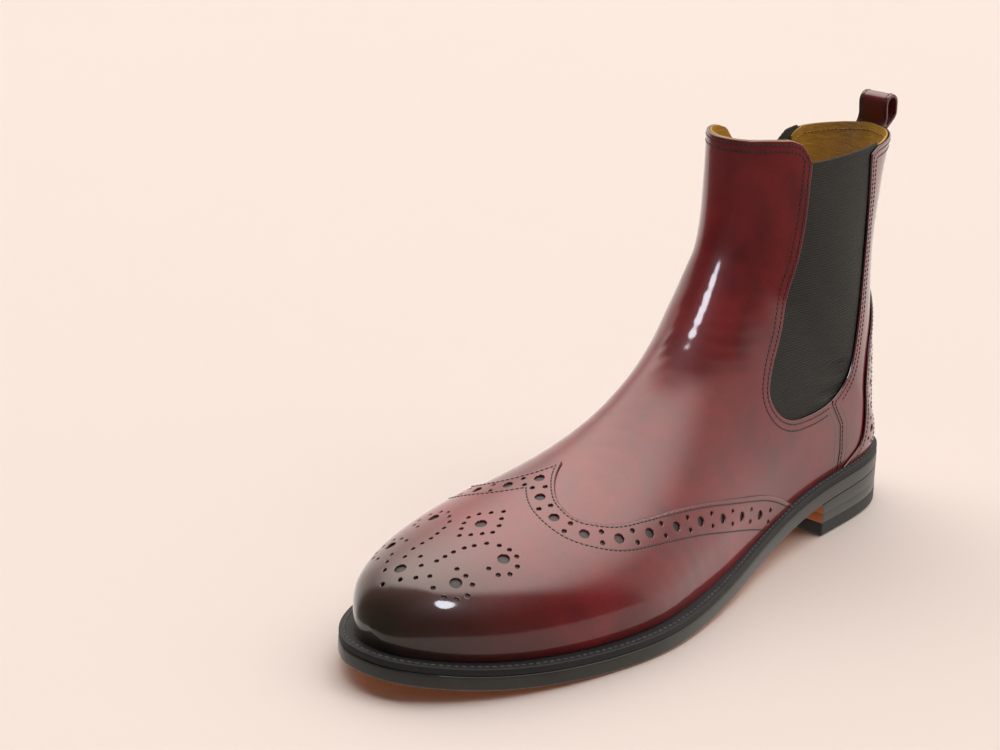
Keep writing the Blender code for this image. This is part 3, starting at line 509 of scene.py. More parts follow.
def rimEdges(triangles):
    edges = np.concatenate([triangles[:, [0, 1]], triangles[:, [1, 2]], triangles[:, [2, 0]]])
    big = triangles.max() + 1
    key = edges[:, 0].astype(np.int64) * big + edges[:, 1]
    back = edges[:, 1].astype(np.int64) * big + edges[:, 0]
    return edges[~np.isin(key, back)]


# Closed leather piece between two heights over the surface, with its rim rolled over
def leatherPiece(name, sheet, low, high, material, rounding=0.5, lift=None):
    sheet = tidySheet(sheet)
    data, triangles = sheet["data"], sheet["triangles"]
    place, normal, rim = data[:, :3], data[:, 3:6], data[:, columnOf["rim"]]
    depth = np.clip(1 - rim / rounding, 0, 1)
    drop = rounding * (1 - np.sqrt(1 - np.minimum(depth, 0.96) ** 2))
    slope = np.minimum(depth / np.sqrt(1 - np.minimum(depth, 0.9) ** 2), 1.8)
    slope = np.where(rim < rounding, slope, 0.0)
    inward = steepness(place, triangles, rim)
    size = np.linalg.norm(inward, axis=1)
    inward /= np.where(size > 1e-6, size, 1)[:, None]
    height = (high if lift is None else lift[0](data, high)) - drop
    floor = np.full(len(data), low) if lift is None else lift[1](data, low)
    topNormal = normal - inward * slope[:, None]
    topNormal = unit(topNormal)
    count = len(data)
    height = np.asarray(height).reshape(-1, 1)
    points = np.concatenate([place + normal * height, place + normal * floor[:, None]])
    return meshFrom(name, points, closedFaces(triangles, count), np.concatenate([topNormal, -normal]),
                    material)


# Ordered lines over the sheet where a field has a level, as rows of data
def isoLines(sheet, name, level, minimum=6):
    data, triangles = sheet["data"], sheet["triangles"]
    value = data[:, columnOf[name]] - level
    value = np.where(value == 0, 1e-9, value)
    signs = value[triangles] > 0
    crossing = signs.any(1) & ~signs.all(1)
    links, places = {}, {}
    for corner in triangles[crossing]:
        ends = []
        for k in range(3):
            a, b = int(corner[k]), int(corner[(k + 1) % 3])
            if (value[a] > 0) != (value[b] > 0):
                key = (min(a, b), max(a, b))
                if key not in places:
                    share = value[key[0]] / (value[key[0]] - value[key[1]])
                    places[key] = data[key[0]] * (1 - share) + data[key[1]] * share
                ends.append(key)
        links.setdefault(ends[0], []).append(ends[1])
        links.setdefault(ends[1], []).append(ends[0])
    found, seen = [], set()
    starts = [k for k in links if len(links[k]) == 1] + list(links)
    for start in starts:
        if start in seen:
            continue
        chain, here = [start], start
        seen.add(start)
        while True:
            ahead = [k for k in links[here] if k not in seen]
            if not ahead:
                break
            here = ahead[0]
            seen.add(here)
            chain.append(here)
        if len(links[start]) == 2 and start in links[chain[-1]] and len(chain) > 2:
            chain.append(start)
        if len(chain) >= minimum:
            found.append(np.array([places[k] for k in chain]))
    return found


# The stretches of a line on which keep is true
def partsWhere(path, keep):
    parts, here = [], []
    for row, good in zip(path, keep):
        if good:
            here.append(row)
        elif here:
            parts.append(np.array(here))
            here = []
    if here:
        parts.append(np.array(here))
    return [p for p in parts if len(p) > 3]


upper = makeUpper(300, 96, True)
plainUpper = makeUpper(130, 40, False)
print("upper surface:", len(upper["triangles"]), "triangles")


# Shader groups: leather grain and pressed rows, each used by several finishes
def newGroup(name, inputs, outputs):
    group = bpy.data.node_groups.new(name, "ShaderNodeTree")
    for label, value in inputs:
        socket = group.interface.new_socket(label, in_out="INPUT", socket_type="NodeSocketFloat")
        socket.default_value = value
    for label in outputs:
        group.interface.new_socket(label, in_out="OUTPUT", socket_type="NodeSocketFloat")
    return group, group.nodes.new("NodeGroupInput"), group.nodes.new("NodeGroupOutput")


def mathNode(tree, operation, first, second=None, third=None, clamp=False):
    node = tree.nodes.new("ShaderNodeMath")
    node.operation, node.use_clamp = operation, clamp
    for socket, value in zip(node.inputs, (first, second, third)):
        if value is None:
            continue
        if isinstance(value, (int, float)):
            socket.default_value = value
        else:
            tree.links.new(value, socket)
    return node.outputs[0]


def timesNode(tree, first, second):
    return mathNode(tree, "MULTIPLY", first, second)


def plusNode(tree, first, second):
    return mathNode(tree, "ADD", first, second)


def noiseNode(tree, scale, detail=3.0, rough=0.55, coordinates=None, distortion=0.0):
    node = tree.nodes.new("ShaderNodeTexNoise")
    node.inputs["Detail"].default_value, node.inputs["Roughness"].default_value = detail, rough
    node.inputs["Distortion"].default_value = distortion
    if isinstance(scale, (int, float)):
        node.inputs["Scale"].default_value = scale
    else:
        tree.links.new(scale, node.inputs["Scale"])
    if coordinates is not None:
        tree.links.new(coordinates, node.inputs["Vector"])
    return node.outputs[0]


def objectPlace(tree):
    return tree.nodes.new("ShaderNodeTexCoord").outputs["Object"]


def makeGrainGroup():
    group, inside, outside = newGroup("leatherGrain", [("Scale", 1.0), ("Pores", 0.5)], ["Height", "Tone"])
    place = objectPlace(group)
    cell = group.nodes.new("ShaderNodeTexVoronoi")
    cell.feature = "DISTANCE_TO_EDGE"
    group.links.new(place, cell.inputs["Vector"])
    group.links.new(timesNode(group, inside.outputs["Scale"], 1500.0), cell.inputs["Scale"])
    pebble = timesNode(group, mathNode(group, "MINIMUM", cell.outputs["Distance"], 0.22), 2.6)
    fine, broad, mottle = (
        noiseNode(group, timesNode(group, inside.outputs["Scale"], scale), detail, rough, place, distortion)
        for scale, detail, rough, distortion in (
            (3200.0, 2.0, 0.6, 0.0), (160.0, 4.0, 0.6, 0.0), (42.0, 5.0, 0.62, 0.4)))
    pores = timesNode(group, timesNode(group, fine, inside.outputs["Pores"]), 0.6)
    height = plusNode(group, plusNode(group, pebble, pores), timesNode(group, broad, 0.9))
    group.links.new(height, outside.inputs["Height"])
    group.links.new(mottle, outside.inputs["Tone"])
    return group


def makeRowsGroup():
    # a pressed line at two distances from a piece's edge, and a band along the edge itself; both serve as masks of
    # painted shade on the leather colour, the pressed lines also as bumps
    group, inside, outside = newGroup("pressedRows", [("First", 1.8), ("Second", 4.6), ("Width", 0.75)],
                                      ["Groove", "Edge"])
    run = group.nodes.new("ShaderNodeAttribute")
    run.attribute_name = "edgeRun"
    grooves = []
    for label in ("First", "Second"):
        away = mathNode(group, "SUBTRACT", run.outputs["Fac"], inside.outputs[label])
        share = mathNode(group, "DIVIDE", mathNode(group, "ABSOLUTE", away), inside.outputs["Width"])
        near = mathNode(group, "SUBTRACT", 1.0, share, clamp=True)
        grooves.append(timesNode(group, near, near))
    group.links.new(mathNode(group, "MAXIMUM", *grooves), outside.inputs["Groove"])
    edge = mathNode(group, "SUBTRACT", 1.0, mathNode(group, "DIVIDE", run.outputs["Fac"], 0.55), clamp=True)
    group.links.new(edge, outside.inputs["Edge"])
    return group


grainGroup, rowsGroup = makeGrainGroup(), makeRowsGroup()


def placeGroup(tree, group, **values):
    node = tree.nodes.new("ShaderNodeGroup")
    node.node_tree = group
    for label, value in values.items():
        node.inputs[label].default_value = value
    return node


def rampNode(tree, factor, stops):
    node = tree.nodes.new("ShaderNodeValToRGB")
    ramp = node.color_ramp
    while len(ramp.elements) < len(stops):
        ramp.elements.new(0.5)
    for element, (place, colour) in zip(ramp.elements, stops):
        element.position, element.color = place, (*colour, 1.0)
    tree.links.new(factor, node.inputs["Fac"])
    return node.outputs["Color"]


def mixColours(tree, factor, first, second, kind="MIX"):
    node = tree.nodes.new("ShaderNodeMix")
    node.data_type, node.blend_type = "RGBA", kind
    for socket, value in ((node.inputs[0], factor), (node.inputs[6], first), (node.inputs[7], second)):
        if isinstance(value, tuple):
            socket.default_value = (*value, 1.0)
        elif isinstance(value, (int, float)):
            socket.default_value = value
        else:
            tree.links.new(value, socket)
    return node.outputs[2]


def newMaterial(name, **constants):
    made = bpy.data.materials.new(name)
    made.use_nodes = True
    shader = made.node_tree.nodes["Principled BSDF"]
    for label, value in constants.items():
        shader.inputs[label.replace("_", " ")].default_value = value
    return made, made.node_tree, shader


def bumpInto(tree, shader, height, distance, strength=1.0):
    bump = tree.nodes.new("ShaderNodeBump")
    bump.inputs["Distance"].default_value, bump.inputs["Strength"].default_value = distance, strength
    tree.links.new(height, bump.inputs["Height"])
    tree.links.new(bump.outputs["Normal"], shader.inputs["Normal"])


# of these colours, the one laid into the pressed grooves and along the pieces' edges is painted shade
oxblood = {
    "deep": (0.075, 0.0020, 0.0030), "body": (0.180, 0.0045, 0.0075), "bright": (0.290, 0.010, 0.014),
    "burnish": (0.021, 0.0115, 0.0042), "grooveEdgeShade": (0.016, 0.003, 0.005),
    "roughness": (0.36, 0.50), "coat": 1.0, "coatRoughness": 0.11, "polish": 0.08, "grainDepth": 0.000045,
}
toeBurnish = {"start": 246.0, "end": 300.0}      # from where to where the toe darkens, mm from the heel


def leatherFinish(name, rows=(1.8, 4.6), burnishToe=False, grainScale=1.0, darker=0.0):
    made, tree, shader = newMaterial(name, Coat_Weight=oxblood["coat"],
                                     Coat_Roughness=oxblood["polish" if burnishToe else "coatRoughness"],
                                     Coat_IOR=1.5, IOR=1.45, Specular_IOR_Level=0.3)
    grain = placeGroup(tree, grainGroup, Scale=grainScale, Pores=0.7)
    pressed = placeGroup(tree, rowsGroup, First=rows[0], Second=rows[1])
    colour = rampNode(tree, grain.outputs["Tone"], [(0.18, oxblood["deep"]), (0.50, oxblood["body"]),
                                                    (0.86, oxblood["bright"])])
    if burnishToe:
        place = tree.nodes.new("ShaderNodeSeparateXYZ")
        tree.links.new(objectPlace(tree), place.inputs[0])
        along = mathNode(tree, "MULTIPLY_ADD", grain.outputs["Tone"], 0.030, place.outputs["X"])
        first = (toeBurnish["start"] + heelPlace[0]) * mm + 0.015
        span = (toeBurnish["end"] - toeBurnish["start"]) * mm
        share = mathNode(tree, "DIVIDE", mathNode(tree, "SUBTRACT", along, first), span, clamp=True)
        share = mathNode(tree, "POWER", share, 0.8)
        colour = mixColours(tree, share, colour, oxblood["burnish"])
    if darker:
        colour = mixColours(tree, darker, colour, oxblood["deep"])
    # painted shade: the leather colour is darkened in the pressed grooves and along each piece's edge
    for mask, strength in (("Groove", 0.75), ("Edge", 0.85)):
        share = timesNode(tree, pressed.outputs[mask], strength)
        colour = mixColours(tree, share, colour, oxblood["grooveEdgeShade"])
    tree.links.new(colour, shader.inputs["Base Color"])
    low, high = oxblood["roughness"]
    rough = mathNode(tree, "MULTIPLY_ADD", grain.outputs["Tone"], high - low, low)
    tree.links.new(rough, shader.inputs["Roughness"])
    height = mathNode(tree, "SUBTRACT", grain.outputs["Height"],
                      timesNode(tree, pressed.outputs["Groove"], 2.6))
    bumpInto(tree, shader, height, oxblood["grainDepth"])
    return made


def grainyFinish(name, dark, light, roughness, depth, scale=1.0, metallic=0.0, coat=0.0, stretch=None):
    made, tree, shader = newMaterial(name, Coat_Weight=coat, Coat_Roughness=0.22, Metallic=metallic)
    grain = placeGroup(tree, grainGroup, Scale=scale, Pores=0.8)
    tree.links.new(rampNode(tree, grain.outputs["Tone"], [(0.32, dark), (0.68, light)]),
                   shader.inputs["Base Color"])
    tree.links.new(mathNode(tree, "MULTIPLY_ADD", grain.outputs["Tone"], roughness[1] - roughness[0],
                            roughness[0]),
                   shader.inputs["Roughness"])
    height = grain.outputs["Height"]
    if stretch is not None:
        mapping = tree.nodes.new("ShaderNodeMapping")
        mapping.inputs["Scale"].default_value = stretch
        tree.links.new(objectPlace(tree), mapping.inputs["Vector"])
        folds = noiseNode(tree, 1.0, 4.0, 0.6, mapping.outputs["Vector"], 0.8)
        height = plusNode(tree, height, timesNode(tree, folds, 9.0))
    bumpInto(tree, shader, height, depth)
    return made


finishes = {
    "wing": leatherFinish("oxbloodWing", rows=(1.5, 11.0), burnishToe=True),
    "panel": leatherFinish("oxbloodPanel"),
    "foxing": leatherFinish("oxbloodFoxing", rows=(2.0, 12.0)),
    "strap": leatherFinish("oxbloodStrap", rows=(1.5, 1.5), grainScale=0.8, darker=0.35),
    # painted shade: a near-black sheet under the punched holes stands in for the shaded leather seen through them
    "shadeBacking": grainyFinish("paintedShadeBacking", (0.010, 0.009, 0.009), (0.045, 0.040, 0.038),
                            (0.35, 0.6), 0.00004),
    "lining": grainyFinish("mustardLining", (0.50, 0.265, 0.022), (0.72, 0.43, 0.060),
                           (0.45, 0.7), 0.00005, 0.7,
                           stretch=(120, 260, 520)),
    "soleEdge": grainyFinish("waxedEdge", (0.014, 0.014, 0.010), (0.036, 0.035, 0.026),
                             (0.38, 0.55), 0.00003, 0.6,
                             coat=0.25),
    "weltTop": grainyFinish("weltLeather", (0.004, 0.004, 0.005), (0.012, 0.012, 0.013),
                            (0.55, 0.8), 0.00008, 0.8),
    "soleTan": grainyFinish("tanSole", (0.40, 0.115, 0.018), (0.60, 0.205, 0.040), (0.32, 0.5), 0.00003, 0.5,
                            coat=0.3),
    "topPiece": grainyFinish("heelRubber", (0.010, 0.010, 0.009), (0.026, 0.026, 0.023),
                             (0.5, 0.75), 0.00005),
    "cork": grainyFinish("corkGranules", (0.17, 0.09, 0.04), (0.42, 0.26, 0.13), (0.8, 0.95), 0.0002, 0.4),
    "board": grainyFinish("stiffBoard", (0.36, 0.25, 0.14), (0.50, 0.37, 0.23), (0.75, 0.9), 0.00004),
    "steel": grainyFinish("brushedSteel", (0.42, 0.41, 0.39), (0.62, 0.60, 0.57),
                          (0.25, 0.45), 0.00001, metallic=1.0),
    "thread": grainyFinish("waxedThread", (0.016, 0.003, 0.004), (0.060, 0.009, 0.011),
                           (0.4, 0.6), 0.00003, 3.0),
    "tanThread": grainyFinish("tanThread", (0.30, 0.15, 0.03), (0.50, 0.30, 0.08), (0.5, 0.7), 0.00003, 3.0),
    "weltThread": grainyFinish("weltThread", (0.030, 0.030, 0.034), (0.085, 0.085, 0.090),
                               (0.4, 0.6), 0.00003, 3.0),
}


# Elastic cloth of the gores: ribs and yarn, then its place under the leather, mm
elastic = {"ribPitch": 1.08, "ribDepth": 0.22, "yarn": 0.62, "samples": 4, "low": 55.0,
           "outside": -1.62, "inside": -2.7, "lap": 7.8}


def elasticFinish():
    made, tree, shader = newMaterial("ribbedElastic", Sheen_Weight=0.08, Sheen_Roughness=0.5)
    place = tree.nodes.new("ShaderNodeSeparateXYZ")
    tree.links.new(objectPlace(tree), place.inputs[0])
    along = tree.nodes.new("ShaderNodeAttribute")
    along.attribute_name = "clothRun"
    yarn = mathNode(tree, "SINE", timesNode(tree, along.outputs["Fac"], 2 * math.pi / elastic["yarn"]))
    rib = tree.nodes.new("ShaderNodeAttribute")
    rib.attribute_name = "ribPhase"
    slant = mathNode(tree, "MULTIPLY_ADD", along.outputs["Fac"], math.pi / elastic["yarn"],
                     rib.outputs["Fac"])
    stagger = mathNode(tree, "SINE", slant)
    fuzz = noiseNode(tree, 2600.0, 3.0, 0.7, objectPlace(tree))
    blotch = noiseNode(tree, 60.0, 3.0, 0.6, objectPlace(tree))
    # painted shade: the cloth's colour follows its ribs, darker in the valleys and lighter on the crests
    ribShade = mathNode(tree, "MULTIPLY_ADD", mathNode(tree, "COSINE", rib.outputs["Fac"]), 0.5, 0.5)
    tone = mathNode(tree, "MULTIPLY_ADD", ribShade, 0.62, timesNode(tree, fuzz, 0.30))
    tone = plusNode(tree, tone, timesNode(tree, blotch, 0.16))
    tree.links.new(rampNode(tree, tone, [(0.12, (0.0035, 0.0035, 0.003)), (0.55, (0.014, 0.014, 0.010)),
                                         (0.95, (0.040, 0.040, 0.028))]), shader.inputs["Base Color"])
    tree.links.new(mathNode(tree, "MULTIPLY_ADD", fuzz, 0.2, 0.72), shader.inputs["Roughness"])
    height = plusNode(tree, timesNode(tree, yarn, 0.35), timesNode(tree, fuzz, 0.6))
    height = plusNode(tree, height, timesNode(tree, stagger, 0.35))
    bumpInto(tree, shader, height, 0.00006)
    return made


finishes["elastic"] = elasticFinish()
print("finishes:", len(finishes))
flexStart, flexEnd = 92.0, 110.0            # heights of the shaft's bend, read by the gores; no piece is bent between them


def bendWithShaft(piece):
    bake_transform(piece)


# What a piece stands for and how it moves (with the boot, or as a function says)
def settle(piece, slotName, *nodes, move=None):
    if nodes:
        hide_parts(*nodes)
    if move is None:
        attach(piece, "boot")
    else:
        move(piece)


def writeAttribute(piece, name, values):
    attribute = piece.data.attributes.new(name, "FLOAT", "POINT")
    attribute.data.foreach_set("value", np.asarray(values, np.float32))


def finishLeather(name, sheet, low, high, finish, levels=(0.08, 0.22, 0.5), runField="rim"):
    for level in levels:
        sheet = cutSheet(sheet, "rim", level, "both")
    sheet = tidySheet(sheet)
    piece = leatherPiece(name, sheet, low, high, finishes[finish])
    run = column(sheet, runField)
    writeAttribute(piece, "edgeRun", np.concatenate([run, np.zeros(len(run))]))
    return piece


# Punched holes: places and radii, mm
punching = {
    "bandLine": 6.2, "bandPitch": 12.4, "bandGrowth": 0.27, "bandPerSide": 13, "bandBig": 2.0,
    "bandSmall": 0.95, "pairApart": 2.5, "medallionCentre": (264.0, 0.0), "medallionTurn": math.radians(8),
    "medallionBig": 2.25, "medallionSmall": 0.85,
    "bigSpots": [(19, 0), (-18, 0), (9, 20.5), (-12, 21.5)],
    "smallSpots": [(27, 0), (22.5, 5), (18.5, 9), (10, 0), (13.5, 5), (-8, 0), (8, 7), (4, 7), (0, 7),
                   (-4, 8),
                   (-8, 9.2), (-12, 11.3), (-15, 15), (-17, 19), (-17, 23.2), (-14.5, 27), (-10.3, 28.3),
                   (-6.3, 26.2), (-5, 22), (-11, 3), (-14.5, 5.5), (-18, 7.5), (-22, 6), (-25.5, 3), (-29, 0),
                   (14.5, 12), (17, 17), (15.5, 22.5), (12, 26), (8, 27), (4.3, 24.5), (4, 20), (5, 15.5)],
    "foxingLine": 7.4, "foxingPitch": 10.5, "foxingBig": 1.8, "foxingSmall": 0.9,
}


# Big holes along a line, with a pair of small ones between each two
def holesAlong(path, kind, growth, count):
    pitch, big, small = (punching[kind + key] for key in ("Pitch", "Big", "Small"))
    apart = punching["pairApart"]
    run = runOf(path)
    middle = run[np.argmin(np.abs(path[:, columnOf["across"]]))]
    found = []
    for side in (-1, 1):
        for step in range(0 if side > 0 else 1, 2 * count):
            at = middle + side * (step * pitch / 2 + growth * (step / 2) ** 2)
            if not 0 < at < run[-1]:
                continue
            row = readAlong(path, run, np.array([at]))[0]
            if step % 2 == 0:
                found.append((row[:3], big))
                continue
            ahead = readAlong(path, run, np.array([at + 0.5]))[0]
            along = (ahead - row)[:3]
            over = np.cross(row[3:6], along / np.linalg.norm(along))
            found += [(row[:3] + over * apart, small), (row[:3] - over * apart, small)]
    return found


# The point of the toe at a distance along the boot and over from the ridge
def pointOn(x, across):
    data = upper["data"]
    near = (data[:, 0] - x) ** 2 + (data[:, columnOf["across"]] - across) ** 2
    near[data[:, 0] < 180] = 1e9
    pick = np.argsort(near)[:4]
    weight = 1 / (np.sqrt(near[pick]) + 0.05)
    return (data[pick, :3] * weight[:, None]).sum(0) / weight.sum()


def setHoles(sheet, holes):
    place = sheet["data"][:, :3]
    sheet["data"] = sheet["data"].copy()
    nearest = np.full(len(place), 50.0)
    for centre, radius in holes:
        nearest = np.minimum(nearest, np.linalg.norm(place - centre, axis=1) - radius)
    sheet["data"][:, columnOf["hole"]] = nearest


def punch(sheet, holes):
    for reach in (0.8, 0.3):
        setHoles(sheet, holes)
        value = column(sheet, "hole")[sheet["triangles"]]
        sheet = refineSheet(sheet, (value.min(1) < reach) & (value.max(1) > -reach))
    setHoles(sheet, holes)
    return tidySheet(cutSheet(sheet, "hole", 0.0, "above", 0.02))


wingPath = max(isoLines(upper, "wing", punching["bandLine"]), key=len)
wingHoles = holesAlong(wingPath, "band", punching["bandGrowth"], punching["bandPerSide"])
turn = punching["medallionTurn"]
for spots, radius in (("bigSpots", punching["medallionBig"]), ("smallSpots", punching["medallionSmall"])):
    for u, v in punching[spots]:
        for side in ((1, -1) if v else (1,)):
            x = punching["medallionCentre"][0] + u * math.cos(turn) + side * v * math.sin(turn)
            over = punching["medallionCentre"][1] - u * math.sin(turn) + side * v * math.cos(turn)
            wingHoles.append((pointOn(x, over), radius))

wingSheet = cutSheet(upper, "wing", 0.0)
wingSheet = punch(wingSheet, [h for h in wingHoles if h[0][2] > welted(h[0][0]) + 2.5])
setRim(wingSheet, column(wingSheet, "wing"), 1.7 * column(wingSheet, "hole"))
wingCap = finishLeather("wingCap", wingSheet, -0.04, 0.8, "wing", levels=(0.22,), runField="wing")
settle(wingCap, "oxblood_leather", "wingtip")
# painted shade under the wing cap's holes: a near-black sheet in place of the shaded leather below
shadeBacking = cutSheet(plainUpper, "wing", 0.5)
setRim(shadeBacking, column(shadeBacking, "wing"))
shadeBacking = leatherPiece("wingShadeBacking", shadeBacking, -0.28, -0.06, finishes["shadeBacking"], 0.05)
settle(shadeBacking, "oxblood_leather")
print("wing cap:", len(wingCap.data.polygons), "faces,", len(wingHoles), "holes")

# Front panel, from the wing cap up to the front of the topline
half = 0.12      # half of the gap between two panels that meet
front = cutBy(upper, ("front", half), ("gore", 0.0, "below"), ("frontTop",))
vampSheet = cutSheet(front, "wing", 11.8, "below")
setRim(vampSheet, -column(vampSheet, "gore"), column(vampSheet, "front") - half,
       column(vampSheet, "frontTop"))
vamp = finishLeather("frontPanel", vampSheet, -1.6, -0.3, "panel")
settle(vamp, "oxblood_leather", "vamp")

# Rear panels, one each side of the back seam
rear = cutBy(upper, ("front", -half, "below"), ("gore", 0.0, "below"), ("backTop",))
rearPanels = {}
for side, keep in (("outer", "above"), ("inner", "below")):
    sign = 1 if keep == "above" else -1
    sheet = cutSheet(rear, "py", sign * half, keep)
    setRim(sheet, -column(sheet, "gore"), -column(sheet, "front") - half, column(sheet, "backTop"))
    rearPanels[side] = sheet
    panel = finishLeather("rearPanel_" + side, sheet, -1.6, -0.3, "panel")
    settle(panel, "oxblood_leather", "quarter_lower_" + side, "quarter_upper_" + side, move=bendWithShaft)
print("panels: front", len(vamp.data.polygons), "faces")

# Heel foxing with its own row of holes, and the strip up the back seam
foxSheet = cutBy(upper, ("foxing",), ("pz", flexLine - 0.15, "below"))
foxPath = max(isoLines(foxSheet, "foxing", punching["foxingLine"]), key=len)
foxPath[:, columnOf["across"]] = foxPath[:, 1]
foxHoles = holesAlong(foxPath, "foxing", 0.0, 12)
foxSheet = punch(foxSheet, [h for h in foxHoles if h[0][2] > welted(h[0][0]) + 2.5])
setRim(foxSheet, column(foxSheet, "foxing"), flexLine - column(foxSheet, "pz"),
       1.7 * column(foxSheet, "hole"))
foxing = finishLeather("heelFoxing", foxSheet, -0.04, 0.8, "foxing", runField="foxing")
settle(foxing, "oxblood_leather", "heel_foxing")
# painted shade under the foxing's holes: a near-black sheet in place of the shaded leather below
foxShadeBacking = cutBy(plainUpper, ("foxing", 0.6), ("pz", flexLine - 1.0, "below"))
setRim(foxShadeBacking, column(foxShadeBacking, "foxing"))
foxShadeBacking = leatherPiece("foxingShadeBacking", foxShadeBacking, -0.28, -0.06, finishes["shadeBacking"], 0.05)
settle(foxShadeBacking, "oxblood_leather")
staySheet = cutBy(upper, ("pz", flexLine + 0.15), ("backTop",), ("py", 6.5, "below"), ("py", -6.5),
                  ("px", 46.0, "below"))
setRim(staySheet, 6.5 - np.abs(column(staySheet, "py")), column(staySheet, "backTop"))
stay = finishLeather("backStay", staySheet, -0.28, 0.8, "strap")
settle(stay, "oxblood_leather", "backstay", move=bendWithShaft)
print("foxing:", len(foxing.data.polygons), "faces,", len(foxHoles), "holes")


# Lining: close under the leather at the topline, deeper below and behind the gores and the loop
def liningDepth(data, base):
    y, z, gore = data[:, 1], data[:, 2], data[:, columnOf["gore"]]
    depth = 1.66 + 1.25 * smoothStep(gore, -11.5, -8.4)
    depth = np.maximum(depth, 1.66 + 2.5 * smoothStep(-z, -150, -112))
    loop = smoothStep(-np.abs(y), -11, -6.5) * smoothStep(-data[:, 0], -30, -20)
    depth = np.maximum(depth, 1.66 + 1.7 * loop)
    wrinkle = 0.16 * np.sin(y / 1.9 + 2.2 * np.sin(z / 4.3)) * np.sin(z / 2.7 + np.sin(y / 3.1))
    return -(depth + base + wrinkle * smoothStep(-data[:, columnOf["backTop"]], -70, -10))


liningHeights = (lambda data, high: liningDepth(data, 0.0), lambda data, low: liningDepth(data, 0.95))
linerBase = makeUpper(230, 70, False)
frontLining = cutBy(linerBase, ("front", half), ("gore", 0.0, "below"), ("frontTop",), ("px", 284.0, "below"))
setRim(frontLining, -column(frontLining, "gore"), column(frontLining, "frontTop"))
frontLining = leatherPiece("frontLining", frontLining, 0.0, 0.0, finishes["lining"], 0.2, liningHeights)
settle(frontLining, "tan_lining_leather", "vamp_lining")
rearLining = cutBy(linerBase, ("front", -half, "below"), ("gore", 0.0, "below"), ("backTop",))
setRim(rearLining, -column(rearLining, "gore"), column(rearLining, "backTop"))
rearLiningSheet = rearLining
rearLining = leatherPiece("rearLining", rearLining, 0.0, 0.0, finishes["lining"], 0.2, liningHeights)
settle(rearLining, "tan_lining_leather", "quarter_lining_lower", "quarter_lining_upper", move=bendWithShaft)
print("lining made")

# Elastic gores: every rib is a level ridge of the cloth


